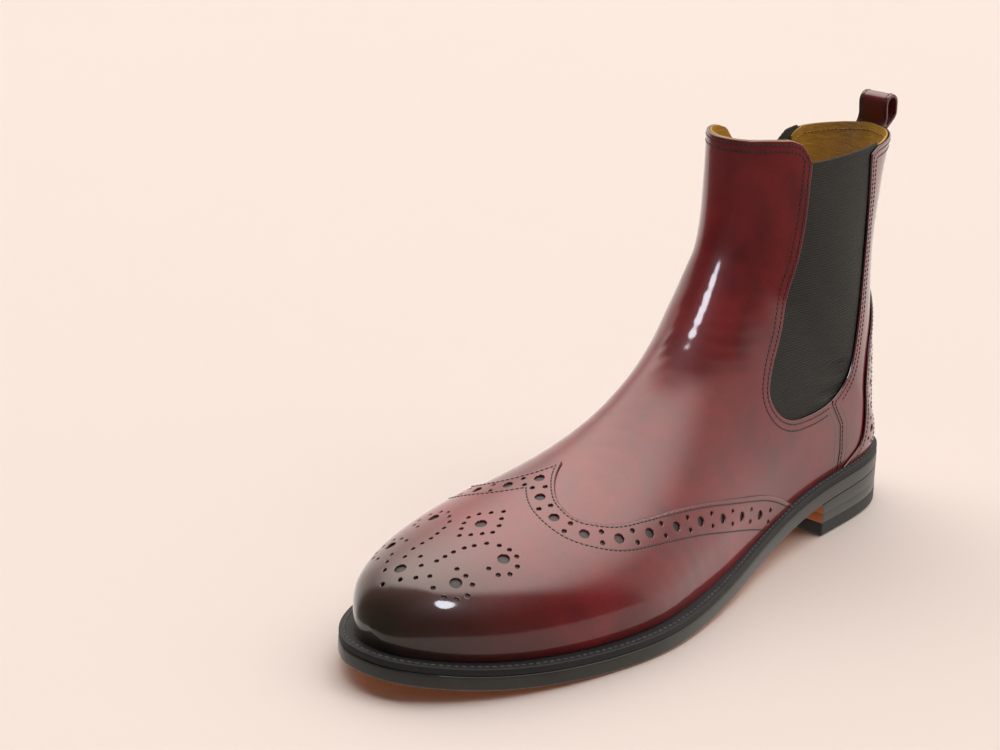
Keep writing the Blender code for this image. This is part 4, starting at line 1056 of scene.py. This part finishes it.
def makeGore(side, sign):
    grid = upper["flatGrid"]
    halfCount = (grid.shape[1] + 1) // 2
    columns = range(halfCount - 1, -1, -1) if sign > 0 else range(halfCount - 1, grid.shape[1])
    top = topBack + 1.5
    heights = np.arange(elastic["low"], top, elastic["ribPitch"] / elastic["samples"])
    strips = []
    for j in columns:
        line = grid[:, j]
        peak = np.maximum.accumulate(line[:, 2])
        line = line[np.concatenate([[True], line[1:, 2] > peak[:-1] + 1e-3])]
        strips.append(np.stack([np.interp(heights, line[:, 2], line[:, k], left=math.nan, right=math.nan)
                                for k in (0, 1)] + [heights], 1))
    strips = np.array(strips).transpose(1, 0, 2)
    # keep the columns that reach the gore, and read them evenly
    inReach = (strips[..., 0] > 8) & (strips[..., 0] < 118)
    width = np.where(inReach.any(0))[0]
    strips = strips[:, width[0]:width[-1] + 1]
    rows, columnCount = strips.shape[:2]
    index = np.arange(rows * columnCount).reshape(rows, columnCount)
    a, b, c, d = index[:-1, :-1], index[:-1, 1:], index[1:, 1:], index[1:, :-1]
    triangles = gridTriangles(a, b, c, d)
    points, goreRun = strips.reshape(-1, 3), runAcross(strips).reshape(-1)
    triangles = triangles[~np.isnan(points[triangles]).any((1, 2))]
    used, triangles = np.unique(triangles, return_inverse=True)
    points, goreRun, triangles = points[used], goreRun[used], triangles.reshape(-1, 3)
    normals = pointNormals(points, triangles)
    if (normals[:, 1] * sign).sum() < 0:
        normals, triangles = -normals, triangles[:, ::-1]
    flatNormals = normals
    phase = 2 * math.pi * points[:, 2] / elastic["ribPitch"]
    ribs = elastic["ribDepth"] * (0.5 + 0.5 * np.cos(phase)) ** 0.8
    lifted = points + flatNormals * ribs[:, None]
    normals = pointNormals(lifted, triangles)
    if (normals[:, 1] * sign).sum() < 0:
        normals = -normals
    x, y, z = points.T
    goreLine = smoothLine(lines["gore"], 160)
    data = np.zeros((len(points), len(columnOf)))
    data[:, :3], data[:, 3:6] = points, flatNormals
    data[:, columnOf["gore"]] = lineDistance(goreLine, x, z - seat, insidePolygon(goreLine, x, z - seat))
    data[:, columnOf["rib"]] = ribs
    data[:, columnOf["phase"]] = phase
    data[:, columnOf["across"]] = goreRun
    sag = shaftWear["goreSag"] * smoothStep(x, 30, 44) if sign < 0 else 0.0
    data[:, columnOf["backTop"]] = topBack + 1.2 - z - sag
    sheet = tidySheet(cutBy({"data": data, "triangles": triangles}, ("gore", -elastic["lap"]), ("backTop",)))
    data, triangles = sheet["data"], sheet["triangles"]
    height = elastic["outside"] + data[:, columnOf["rib"]] - elastic["ribDepth"]
    outer = data[:, :3] + data[:, 3:6] * height[:, None]
    inner = data[:, :3] + data[:, 3:6] * elastic["inside"]
    outerNormals = pointNormals(outer, triangles)
    piece = meshFrom("gore_" + side + "_elastic", np.concatenate([outer, inner]),
                     closedFaces(triangles, len(data)),
                     np.concatenate([outerNormals, -data[:, 3:6]]), finishes["elastic"])
    both = np.concatenate([data, data])
    writeAttribute(piece, "clothRun", both[:, columnOf["across"]])
    writeAttribute(piece, "ribPhase", both[:, columnOf["phase"]])
    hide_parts("gore_" + side)
    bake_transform(piece)
    # share of the shaft's movement from the front edge to the rear edge; it is computed but not applied
    rise = both[:, 2] - seat
    rearX = np.interp(rise, [31, 44, 56, 71, 88, 106, 121, 139, 160],
                      [60, 41, 36, 32, 29, 27.5, 28, 30.5, 32.4])
    frontX = np.interp(rise, [31, 45, 60, 70, 87, 101, 115, 127, 160],
                       [80, 98, 94.5, 88.5, 82, 77, 74.8, 73.6, 71])
    share = np.clip((frontX - both[:, 0]) / (frontX - rearX), 0, 1)
    share = share * smoothStep(both[:, 2], flexStart, flexEnd)
    return piece


def runAcross(strips):
    leap = np.nan_to_num(np.linalg.norm(np.diff(strips, axis=1), axis=2))
    return np.concatenate([np.zeros((len(strips), 1)), np.cumsum(leap, axis=1)], 1)


for side, sign in (("outer", 1), ("inner", -1)):
    gore = makeGore(side, sign)
    print("gore:", len(gore.data.polygons), "faces")


# Pull loop: one strap, up from between the leather and the lining, over, and down outside the back strip
loop = {"thickness": 1.5, "width": 14.5, "height": 14.0, "depth": 9.2, "tailOut": 22.0, "tailIn": 14.0,
        "frontLeg": -7.99, "start": topBack + 1.2}


def backSurface():
    # how far the back of the shaft curves forwards, by height and distance from the centre line
    data = plainUpper["data"]
    backX = np.interp(data[:, 2], stationTable[backRows, 3], stationTable[backRows, 2])
    near = (data[:, 0] < 30) & (data[:, 2] > topBack - 40) & (np.abs(data[:, 1]) < 14)
    return np.polyfit(np.abs(data[near, 1]), (data[:, 0] - backX)[near], 2)


def backX(z):
    return float(naturalCurve(stationTable[backRows, 3], stationTable[backRows, 2], z))


def makeLoop():
    bend = backSurface()
    radius = (loop["depth"] - loop["thickness"]) / 2
    crown = topBack + loop["height"] - loop["thickness"] / 2 - radius
    path = []
    for z in np.linspace(topBack - loop["tailIn"], loop["start"], 16):
        path.append((backX(z) + 0.38 + loop["thickness"] / 2 + 0.15, z))
    joinX = path[-1][0]
    for z in np.linspace(loop["start"], crown, 8)[1:-1]:
        share = (z - loop["start"]) / (crown - loop["start"])
        path.append((joinX + (loop["frontLeg"] - joinX) * smoothStep(share, 0, 1), z))
    path += [(loop["frontLeg"] - radius + radius * math.cos(a), crown + radius * math.sin(a))
             for a in np.linspace(0, math.pi, 25)]
    backLeg = loop["frontLeg"] - 2 * radius
    for z in np.linspace(crown, topBack - 0.8, 18)[1:]:
        share = (z - topBack + 0.8) / (crown - topBack + 0.8)
        foot = backX(topBack - 0.8) - 0.85 - loop["thickness"] / 2
        path.append((foot + (backLeg - foot) * math.sin(min(1.6 * share, 1.0) * math.pi / 2), z))
    for z in np.linspace(topBack - 0.8, topBack - loop["tailOut"], 22)[1:]:
        path.append((backX(z) - 0.85 - loop["thickness"] / 2, z))
    path = evened(np.array(path), 190)
    along = np.gradient(path, axis=0)
    along = unit(along)
    out = np.stack([-along[:, 1], along[:, 0]], 1)
    # rounded section, slightly fuller in the middle
    half, thick, corner = loop["width"] / 2, loop["thickness"] / 2, 0.45
    section = []
    for y in np.linspace(-half + corner, half - corner, 13):
        section.append((y, thick * (0.93 + 0.07 * math.cos(y / half * math.pi / 2))))
    for a in (60, 30, 0, -30, -60):
        section.append((half - corner + corner * math.cos(math.radians(a)),
                        (thick - corner) * np.sign(a) + corner * math.sin(math.radians(a))))
    section = np.array(section)
    section = np.concatenate([section, -section])
    count = len(section)
    points = np.zeros((len(path), count, 3))
    points[..., 1] = section[None, :, 0]
    points[..., 0] = path[:, None, 0] + out[:, None, 0] * section[None, :, 1]
    points[..., 2] = path[:, None, 1] + out[:, None, 1] * section[None, :, 1]
    follow = smoothStep(-points[..., 2], -topBack - 5.0, -topBack + 1.5)
    # the tails follow the round of the back, the free arch stands straight
    points[..., 0] += np.polyval(bend, np.abs(points[..., 1])) * follow
    index = np.arange(len(path) * count).reshape(len(path), count)
    a, b = index[:-1], np.roll(index, -1, 1)[:-1]
    c, d = np.roll(index, -1, 1)[1:], index[1:]
    triangles = gridTriangles(a, b, c, d)
    caps = [(index[0, 0], index[0, k + 1], index[0, k]) for k in range(1, count - 1)]
    caps += [(index[-1, 0], index[-1, k], index[-1, k + 1]) for k in range(1, count - 1)]
    triangles = np.concatenate([triangles, np.array(caps)])
    flat = points.reshape(-1, 3)
    va, vb, vc = (flat[triangles[:, k]] for k in range(3))
    if (va * np.cross(vb, vc)).sum() < 0:
        triangles = triangles[:, ::-1]
    piece = meshFrom("pullLoop", flat, triangles, None, finishes["strap"])
    writeAttribute(piece, "edgeRun", np.tile(half - np.abs(section[:, 0]) + 0.35, len(path)))
    bpy.context.view_layer.objects.active = piece
    piece.select_set(True)
    bpy.ops.object.shade_smooth_by_angle(angle=math.radians(50))
    piece.select_set(False)
    return piece, path, out, bend


deselectAll()
pullLoop, loopPath, loopOut, loopBend = makeLoop()
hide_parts("pull_loop", "loop_tail_outer", "loop_tail_inner")


def bendWithLoop(piece):
    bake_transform(piece)


bendWithLoop(pullLoop)
print("pull loop made")


# Stitches: one is modelled, and the rows are copies of it laid along the lines
def modelStitch(name, segments, rings):
    deselectAll()
    bpy.ops.mesh.primitive_uv_sphere_add(segments=segments, ring_count=rings, radius=0.5,
                                         rotation=(0, math.pi / 2, 0))
    ball = bpy.context.object
    bpy.ops.object.transform_apply(location=False, rotation=True, scale=False)
    bpy.ops.object.mode_set(mode="EDIT")
    bpy.ops.mesh.select_all(action="SELECT")
    bpy.ops.mesh.quads_convert_to_tris()
    bpy.ops.object.mode_set(mode="OBJECT")
    points = np.array([v.co for v in ball.data.vertices])
    points[:, 0] = np.sign(points[:, 0]) * (np.abs(2 * points[:, 0]) ** 0.7) / 2
    triangles = np.array([tuple(p.vertices) for p in ball.data.polygons])
    bpy.data.objects.remove(ball)
    return points, triangles


stitchShape = modelStitch("stitch", 6, 5)
stitchRows = {"fine": {"pitch": 2.0, "length": 1.6, "width": 0.66, "height": 0.50},
              "welt": {"pitch": 2.9, "length": 2.3, "width": 1.0, "height": 0.8}}


# One mesh of stitches along several lines of points and normals
def layStitches(name, paths, kind, rise, finish):
    size = stitchRows[kind]
    places, alongs, ups = [], [], []
    for path in paths:
        run = runOf(path)
        if run[-1] < size["pitch"] * 1.5:
            continue
        number = max(2, int(run[-1] / size["pitch"]))
        at = (np.arange(number) + 0.5) * run[-1] / number
        here = readAlong(path[:, :6], run, at)
        ahead = readAlong(path[:, :6], run, np.minimum(at + 0.4, run[-1]))
        behind = readAlong(path[:, :6], run, np.maximum(at - 0.4, 0))
        along = (ahead - behind)[:, :3]
        along = unit(along)
        up = here[:, 3:6] - along * (here[:, 3:6] * along).sum(1)[:, None]
        up = unit(up)
        places.append(here[:, :3] + up * rise)
        alongs.append(along)
        ups.append(up)
    place, along, up = np.concatenate(places), np.concatenate(alongs), np.concatenate(ups)
    over = np.cross(up, along)
    shape, faces = stitchShape
    scaled = shape * np.array([size["length"], size["width"], size["height"]])
    points = (place[:, None] + scaled[None, :, 0:1] * along[:, None] + scaled[None, :, 1:2] * over[:, None]
              + scaled[None, :, 2:3] * up[:, None])
    triangles = faces[None] + (np.arange(len(place)) * len(shape))[:, None, None]
    return meshFrom(name, points.reshape(-1, 3), triangles.reshape(-1, 3), None, finishes[finish])


def rowsOn(sheet, name, level, keep=lambda path: np.ones(len(path), bool)):
    found = []
    for path in isoLines(sheet, name, level):
        found += partsWhere(path, keep(path))
    return found


def value(path, name):
    return path[:, columnOf[name]]


def aboveWelt(path, by=1.5):
    return path[:, 2] > welted(path[:, 0]) + by


wingRows = rowsOn(upper, "wing", 1.5, aboveWelt) + rowsOn(upper, "wing", 11.0, aboveWelt)
stitches = layStitches("wingStitches", wingRows, "fine", 0.80, "thread")
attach(stitches, "boot")


# the rows of the front panel keep to the gores and the topline
def byFrontEdge(path):
    rim = value(path, "rim")
    atEdge = (np.abs(value(path, "gore") + rim) < 0.3) | (np.abs(value(path, "frontTop") - rim) < 0.3)
    return (value(path, "front") > 1.0) & atEdge


# a rear panel has one row along its seam, and two along the gore and the topline
def byRearEdge(path, level):
    seamFree = (level < 4) | ((value(path, "front") < -8) & (value(path, "foxing") < -3))
    return (value(path, "foxing") < -0.5) & (np.abs(path[:, 1]) > 7.2) & aboveWelt(path) & seamFree


panelLevels = (1.8, 4.6)
frontRows = sum((rowsOn(vampSheet, "rim", level, byFrontEdge) for level in panelLevels), [])
stitches = layStitches("frontPanelStitches", frontRows, "fine", -0.28, "thread")
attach(stitches, "boot")
for side, sheet in rearPanels.items():
    rows = sum((rowsOn(sheet, "rim", level, lambda path: byRearEdge(path, level)) for level in panelLevels),
               [])
    stitches = layStitches("rearPanelStitches_" + side, rows, "fine", -0.28, "thread")
    bendWithShaft(stitches)
foxRows = rowsOn(foxSheet, "foxing", 2.0, aboveWelt) + rowsOn(foxSheet, "foxing", 12.0, aboveWelt)
stitches = layStitches("foxingStitches", foxRows, "fine", 0.80, "thread")
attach(stitches, "boot")
stayRows = sum((rowsOn(staySheet, "py", side, lambda path: value(path, "backTop") > loop["tailOut"] + 1)
                for side in (5.0, -5.0)), [])
stitches = layStitches("backStayStitches", stayRows, "fine", 0.80, "thread")
bendWithShaft(stitches)
linerRows = rowsOn(rearLiningSheet, "backTop", 3.2, lambda p: value(p, "gore") < -1.5)
for row in linerRows:
    row[:, :3] -= row[:, 3:6] * (-liningDepth(row, 0.95))[:, None]
    row[:, 3:6] *= -1
stitches = layStitches("liningStitches", linerRows, "fine", 0.05, "tanThread")
bendWithShaft(stitches)
loopRows = []
for y in (5.75, -5.75):
    for facing in (1, -1):
        normal = np.stack([loopOut[:, 0] * facing, np.zeros(len(loopPath)), loopOut[:, 1] * facing], 1)
        shift = loop["thickness"] / 2 * 0.95
        row = np.column_stack([loopPath[:, 0], np.full(len(loopPath), y), loopPath[:, 1]]) + normal * shift
        row[:, 0] += np.polyval(loopBend, abs(y)) * smoothStep(-row[:, 2], -topBack - 5.0, -topBack + 1.5)
        loopRows.append(np.column_stack([row, normal])[18:])
stitches = layStitches("pullLoopStitches", loopRows, "fine", 0.0, "thread")
bendWithLoop(stitches)
print("stitch rows laid")

# Sole unit, drawn flat from the outline in millimetres, thickened, eased at its edges and bent to its profile
sole = {"outsoleEdge": 0.9, "weltEdge": 0.7, "ringPoints": 420, "weltInside": -7.2}


def outlinePoints(reach, count):
    outer, inner = movedOutline(reach)
    ring = np.concatenate([outer, inner[-2:0:-1]])
    ring = np.concatenate([ring, ring[:1]])
    run = np.concatenate([[0.0], np.cumsum(np.linalg.norm(np.diff(ring, axis=0), axis=1))])
    at = np.linspace(0, run[-1], count + 1)[:-1]
    return np.stack([np.interp(at, run, ring[:, k]) for k in range(2)], 1)


def startPlate(name, reach, count, hole=None):
    deselectAll()
    bpy.ops.mesh.primitive_circle_add(vertices=count, radius=100, fill_type="NOTHING" if hole else "NGON")
    plate = bpy.context.object
    plate.name = plate.data.name = name
    ring = outlinePoints(reach, count)
    if hole is not None:
        bpy.ops.object.mode_set(mode="EDIT")
        bpy.ops.mesh.primitive_circle_add(vertices=count, radius=60, fill_type="NOTHING")
        bpy.ops.object.mode_set(mode="OBJECT")
        ring = np.concatenate([ring, outlinePoints(hole, count)])
    for vertex, (x, y) in zip(plate.data.vertices, ring):
        vertex.co = (x, y, 0.0)
    bpy.ops.object.mode_set(mode="EDIT")
    bpy.ops.mesh.select_all(action="SELECT")
    if hole is not None:
        bpy.ops.mesh.bridge_edge_loops()
    return plate


def thickenPlate(plate, thickness, edge, segments=3, cutAt=None, strips=()):
    if cutAt is not None:
        bpy.ops.mesh.bisect(plane_co=(cutAt, 0, 0), plane_no=(1, 0, 0), clear_outer=True)
        bpy.ops.mesh.select_all(action="SELECT")
    for x in strips:
        bpy.ops.mesh.bisect(plane_co=(x, 0, 0), plane_no=(1, 0, 0))
        bpy.ops.mesh.select_all(action="SELECT")
    bpy.ops.mesh.extrude_region_move(TRANSFORM_OT_translate={"value": (0, 0, thickness)})
    bpy.ops.mesh.select_all(action="SELECT")
    bpy.ops.mesh.normals_make_consistent(inside=False)
    bpy.ops.mesh.select_all(action="DESELECT")
    bpy.ops.mesh.select_mode(type="EDGE")
    bpy.ops.mesh.edges_select_sharp(sharpness=math.radians(50))
    if edge:
        bpy.ops.mesh.bevel(offset=edge, segments=segments, profile=0.6, affect="EDGES", clamp_overlap=False)
    bpy.ops.mesh.select_mode(type="FACE")
    bpy.ops.mesh.select_all(action="DESELECT")
    bpy.ops.object.mode_set(mode="OBJECT")


# Bends a flat plate to the profile, moves it to its place and gives it its finish
def placePlate(plate, bend, base, finish, underside=None):
    points = np.array([v.co for v in plate.data.vertices])
    points[:, 2] += (soleBottom(points[:, 0]) if bend else 0) + base
    points = (points + heelPlace) * mm
    plate.data.vertices.foreach_set("co", points.astype(np.float32).ravel())
    plate.data.materials.clear()
    plate.data.materials.append(finishes[finish])
    if underside is not None:
        plate.data.materials.append(finishes[underside])
        for face in plate.data.polygons:
            face.material_index = 1 if face.normal.z < -0.85 else 0
    plate.data.update()
    deselectAll()
    plate.select_set(True)
    bpy.context.view_layer.objects.active = plate
    bpy.ops.object.shade_smooth_by_angle(angle=math.radians(38))
    plate.select_set(False)
    return plate


outsole = startPlate("soleLeather", soleReach, sole["ringPoints"])
thickenPlate(outsole, last["outsole"] + 0.14, sole["outsoleEdge"], 4, strips=np.arange(4, 302, 6.0))
placePlate(outsole, True, 0.0, "soleEdge", "soleTan")
settle(outsole, "black_sole_edge", "outsole")
welt = startPlate("weltStrip", lambda x: soleReach(x) - 0.15, sole["ringPoints"],
                  lambda x: 0 * x + sole["weltInside"])
thickenPlate(welt, last["welt"] + 0.14, sole["weltEdge"], 3)
placePlate(welt, True, last["outsole"] + last["gap"] - 0.14, "weltTop")
settle(welt, "black_sole_edge", "welt")
weltTopHeight = last["outsole"] + last["gap"] + last["welt"]
ring = outlinePoints(lambda x: soleReach(x) - 2.3, 900)
ring = np.concatenate([ring, ring[:1]])
ringRow = np.column_stack([ring, soleBottom(ring[:, 0]) + weltTopHeight])
tilt = soleBottom(ring[:, 0] + 0.5) - soleBottom(ring[:, 0] - 0.5)
ringRow = np.column_stack([ringRow, -tilt, np.zeros(len(ring)), np.ones(len(ring))])
ringRow[:, 3:6] = unit(ringRow[:, 3:6])
stitches = layStitches("weltStitches", [ringRow], "welt", -0.02, "weltThread")
settle(stitches, "black_sole_edge")

heel = {"length": 66.0, "topPiece": 5.5, "liftGap": 0.3, "edge": 0.15}
liftHeight = (16 * 0.875 - heel["topPiece"] - 2 * heel["liftGap"]) / 2
topPiece = startPlate("heelTopPiece", soleReach, 260)
thickenPlate(topPiece, heel["topPiece"] + 0.13, 0.5, 3, cutAt=heel["length"])
nailCentres = [(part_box("heel_nail_%d" % k)[0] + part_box("heel_nail_%d" % k)[1]) / 2 / mm for k in range(1, 7)]
for centre in nailCentres:
    deselectAll()
    bpy.ops.mesh.primitive_cylinder_add(vertices=24, radius=1.32, depth=20,
                                        location=(centre.x - heelPlace[0], centre.y - heelPlace[1], 0))
    drill = bpy.context.object
    bpy.ops.object.transform_apply(location=True, rotation=True, scale=True)
    deselectAll()
    topPiece.select_set(True)
    bpy.context.view_layer.objects.active = topPiece
    hole = topPiece.modifiers.new("nailHole", "BOOLEAN")
    hole.operation, hole.solver, hole.object = "DIFFERENCE", "EXACT", drill
    bpy.ops.object.modifier_apply(modifier=hole.name)
    bpy.data.objects.remove(drill)
placePlate(topPiece, False, 0.0, "topPiece")
settle(topPiece, "heel_rubber", "heel_top_piece")
lower = startPlate("heelLiftLower", lambda x: soleReach(x) - 0.1, 260)
thickenPlate(lower, liftHeight + 0.26, heel["edge"], 2, cutAt=heel["length"] - 0.1)
placePlate(lower, False, heel["topPiece"] + heel["liftGap"] - 0.13, "soleEdge")
settle(lower, "black_sole_edge", "heel_lift_lower")
upperLift = startPlate("heelLiftUpper", lambda x: soleReach(x) - 0.05, 260)
thickenPlate(upperLift, liftHeight, heel["edge"], 2, cutAt=heel["length"] - 0.1, strips=np.arange(2, 66, 4.0))
points = np.array([v.co for v in upperLift.data.vertices])
base = heel["topPiece"] + 2 * heel["liftGap"] + liftHeight - 0.13
topShare = points[:, 2] / liftHeight
points[:, 2] = base + topShare * (soleBottom(points[:, 0]) - 0.12 - base)
upperLift.data.vertices.foreach_set("co", points.astype(np.float32).ravel())
placePlate(upperLift, False, 0.0, "soleEdge")
settle(upperLift, "black_sole_edge", "heel_lift_upper")
for lift in (lower, upperLift):
    # the heel breast is left as bare leather
    lift.data.materials.append(finishes["soleTan"])
    for face in lift.data.polygons:
        if face.normal.x > 0.9 and face.center.x / mm - heelPlace[0] > heel["length"] - 1.5:
            face.material_index = 1

sock = startPlate("sockLiner", -6.9, 240)
thickenPlate(sock, 1.0, 0.3, 2, strips=np.arange(12, 292, 8.0))
placePlate(sock, True, last["outsole"] + last["welt"] + 2 * last["gap"] + 2.5 + 0.3, "lining")
settle(sock, "tan_lining_leather", "sock_liner")
print("sole unit made")

# Finishes of the parts that keep their CAD shape
keptFinishes = {"toe_puff": "board", "heel_counter": "board", "insole": "board", "shank": "steel",
                "cork_filler": "cork", "heel_seat_filler": "soleTan"}
keptFinishes.update({"heel_nail_%d" % k: "steel" for k in range(1, 7)})
for node, finish in keptFinishes.items():
    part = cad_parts[node]
    part.data.materials.clear()
    part.data.materials.append(finishes[finish])

# Floor, light and camera
stage = {"floor": (0.86, 0.80, 0.77), "sky": (1.0, 0.90, 0.835), "dim": 0.10, "wall": 0.85, "ceiling": 3.9,
         "ground": 0.75, "diffuseShare": 0.65, "turn": math.radians(-163), "lift": math.radians(20)}
deselectAll()
bpy.ops.mesh.primitive_plane_add(size=14, location=(0, 0, -0.0005))
floor = bpy.context.object
floor.name = floor.data.name = "floor"
floorMaterial, tree, shader = newMaterial("paleFloor", Roughness=0.9)
tone = noiseNode(tree, 3.0, 2.0, 0.5, objectPlace(tree))
tree.links.new(rampNode(tree, tone, [(0.3, tuple(c * 0.99 for c in stage["floor"])), (0.7, stage["floor"])]),
               shader.inputs["Base Color"])
floor.data.materials.append(floorMaterial)
floor.visible_glossy = False


def towards(azimuth, elevation):
    flat = math.cos(elevation)
    return Vector((math.cos(azimuth) * flat, math.sin(azimuth) * flat, math.sin(elevation)))


# one cool oval lamp over the toe, in metres and watts
lampPlan = {"place": (0.86, 0.84, 1.45), "aim": (0.08, 0.0, 0.05), "size": (0.50, 0.62), "power": 15,
            "colour": (0.86, 0.90, 1.0)}
light = bpy.data.lights.new("toeLamp", "AREA")
light.shape, light.size, light.size_y = "ELLIPSE", *lampPlan["size"]
light.energy, light.color = lampPlan["power"], lampPlan["colour"]
lamp = bpy.data.objects.new("toeLamp", light)
lamp.location = lampPlan["place"]
shine = Vector(lampPlan["aim"]) - lamp.location
lamp.rotation_euler = shine.to_track_quat("-Z", "Y").to_euler()
bpy.context.scene.collection.objects.link(lamp)
lamp.visible_diffuse = False

# the room is bright behind the boot and overhead, and dim on the near side
world = bpy.data.worlds.new("studio")
bpy.context.scene.world = world
world.use_nodes = True
tree = world.node_tree
facing = tree.nodes.new("ShaderNodeVectorMath")
facing.operation = "DOT_PRODUCT"
tree.links.new(objectPlace(tree), facing.inputs[0])
facing.inputs[1].default_value = towards(stage["turn"], stage["lift"])
upward = tree.nodes.new("ShaderNodeSeparateXYZ")
tree.links.new(objectPlace(tree), upward.inputs[0])


def easedRange(tree, amount, low, high, start, end):
    node = tree.nodes.new("ShaderNodeMapRange")
    node.interpolation_type = "SMOOTHSTEP"
    for label, setting in (("From Min", low), ("From Max", high), ("To Min", start), ("To Max", end)):
        node.inputs[label].default_value = setting
    tree.links.new(amount, node.inputs["Value"])
    return node.outputs["Result"]


lit = easedRange(tree, facing.outputs["Value"], 0.08, 0.32, 0.0, 1.0)
ceiling = easedRange(tree, upward.outputs["Z"], 0.35, 0.95, stage["wall"], stage["ceiling"])
ground = easedRange(tree, upward.outputs["Z"], -0.28, -0.40, 0.0, stage["ground"])
strength = mathNode(tree, "MAXIMUM", mathNode(tree, "MULTIPLY_ADD", lit, ceiling, stage["dim"]), ground)
softer = mathNode(tree, "MULTIPLY_ADD", tree.nodes.new("ShaderNodeLightPath").outputs["Is Diffuse Ray"],
                  stage["diffuseShare"] - 1, 1.0)
background = tree.nodes["Background"]
background.inputs["Color"].default_value = (*stage["sky"], 1)
tree.links.new(timesNode(tree, strength, softer), background.inputs["Strength"])
bpy.context.scene.view_settings.view_transform = "Standard"

view = {"azimuth": 41.7997, "elevation": 19.9778, "distance": 0.978449, "roll": 1.1677, "lens": 84.336,
        "target": (167.827, -59.977, 75.114)}
camera = bpy.data.objects.new("camera", bpy.data.cameras.new("camera"))
bpy.context.scene.collection.objects.link(camera)
back = towards(math.radians(view["azimuth"]), math.radians(view["elevation"]))
right = Vector((0, 0, 1)).cross(back).normalized()
up = back.cross(right)
roll = math.radians(view["roll"])
right, up = right * math.cos(roll) + up * math.sin(roll), up * math.cos(roll) - right * math.sin(roll)
target = Vector((np.array(view["target"]) + heelPlace) * mm)
pose = Matrix((right, up, back)).transposed().to_4x4()
pose.translation = target + back * view["distance"]
camera.matrix_world = pose
camera.data.lens, camera.data.sensor_width = view["lens"], 36.0
camera.data.clip_start, camera.data.clip_end = 0.05, 60
bpy.context.scene.camera = camera
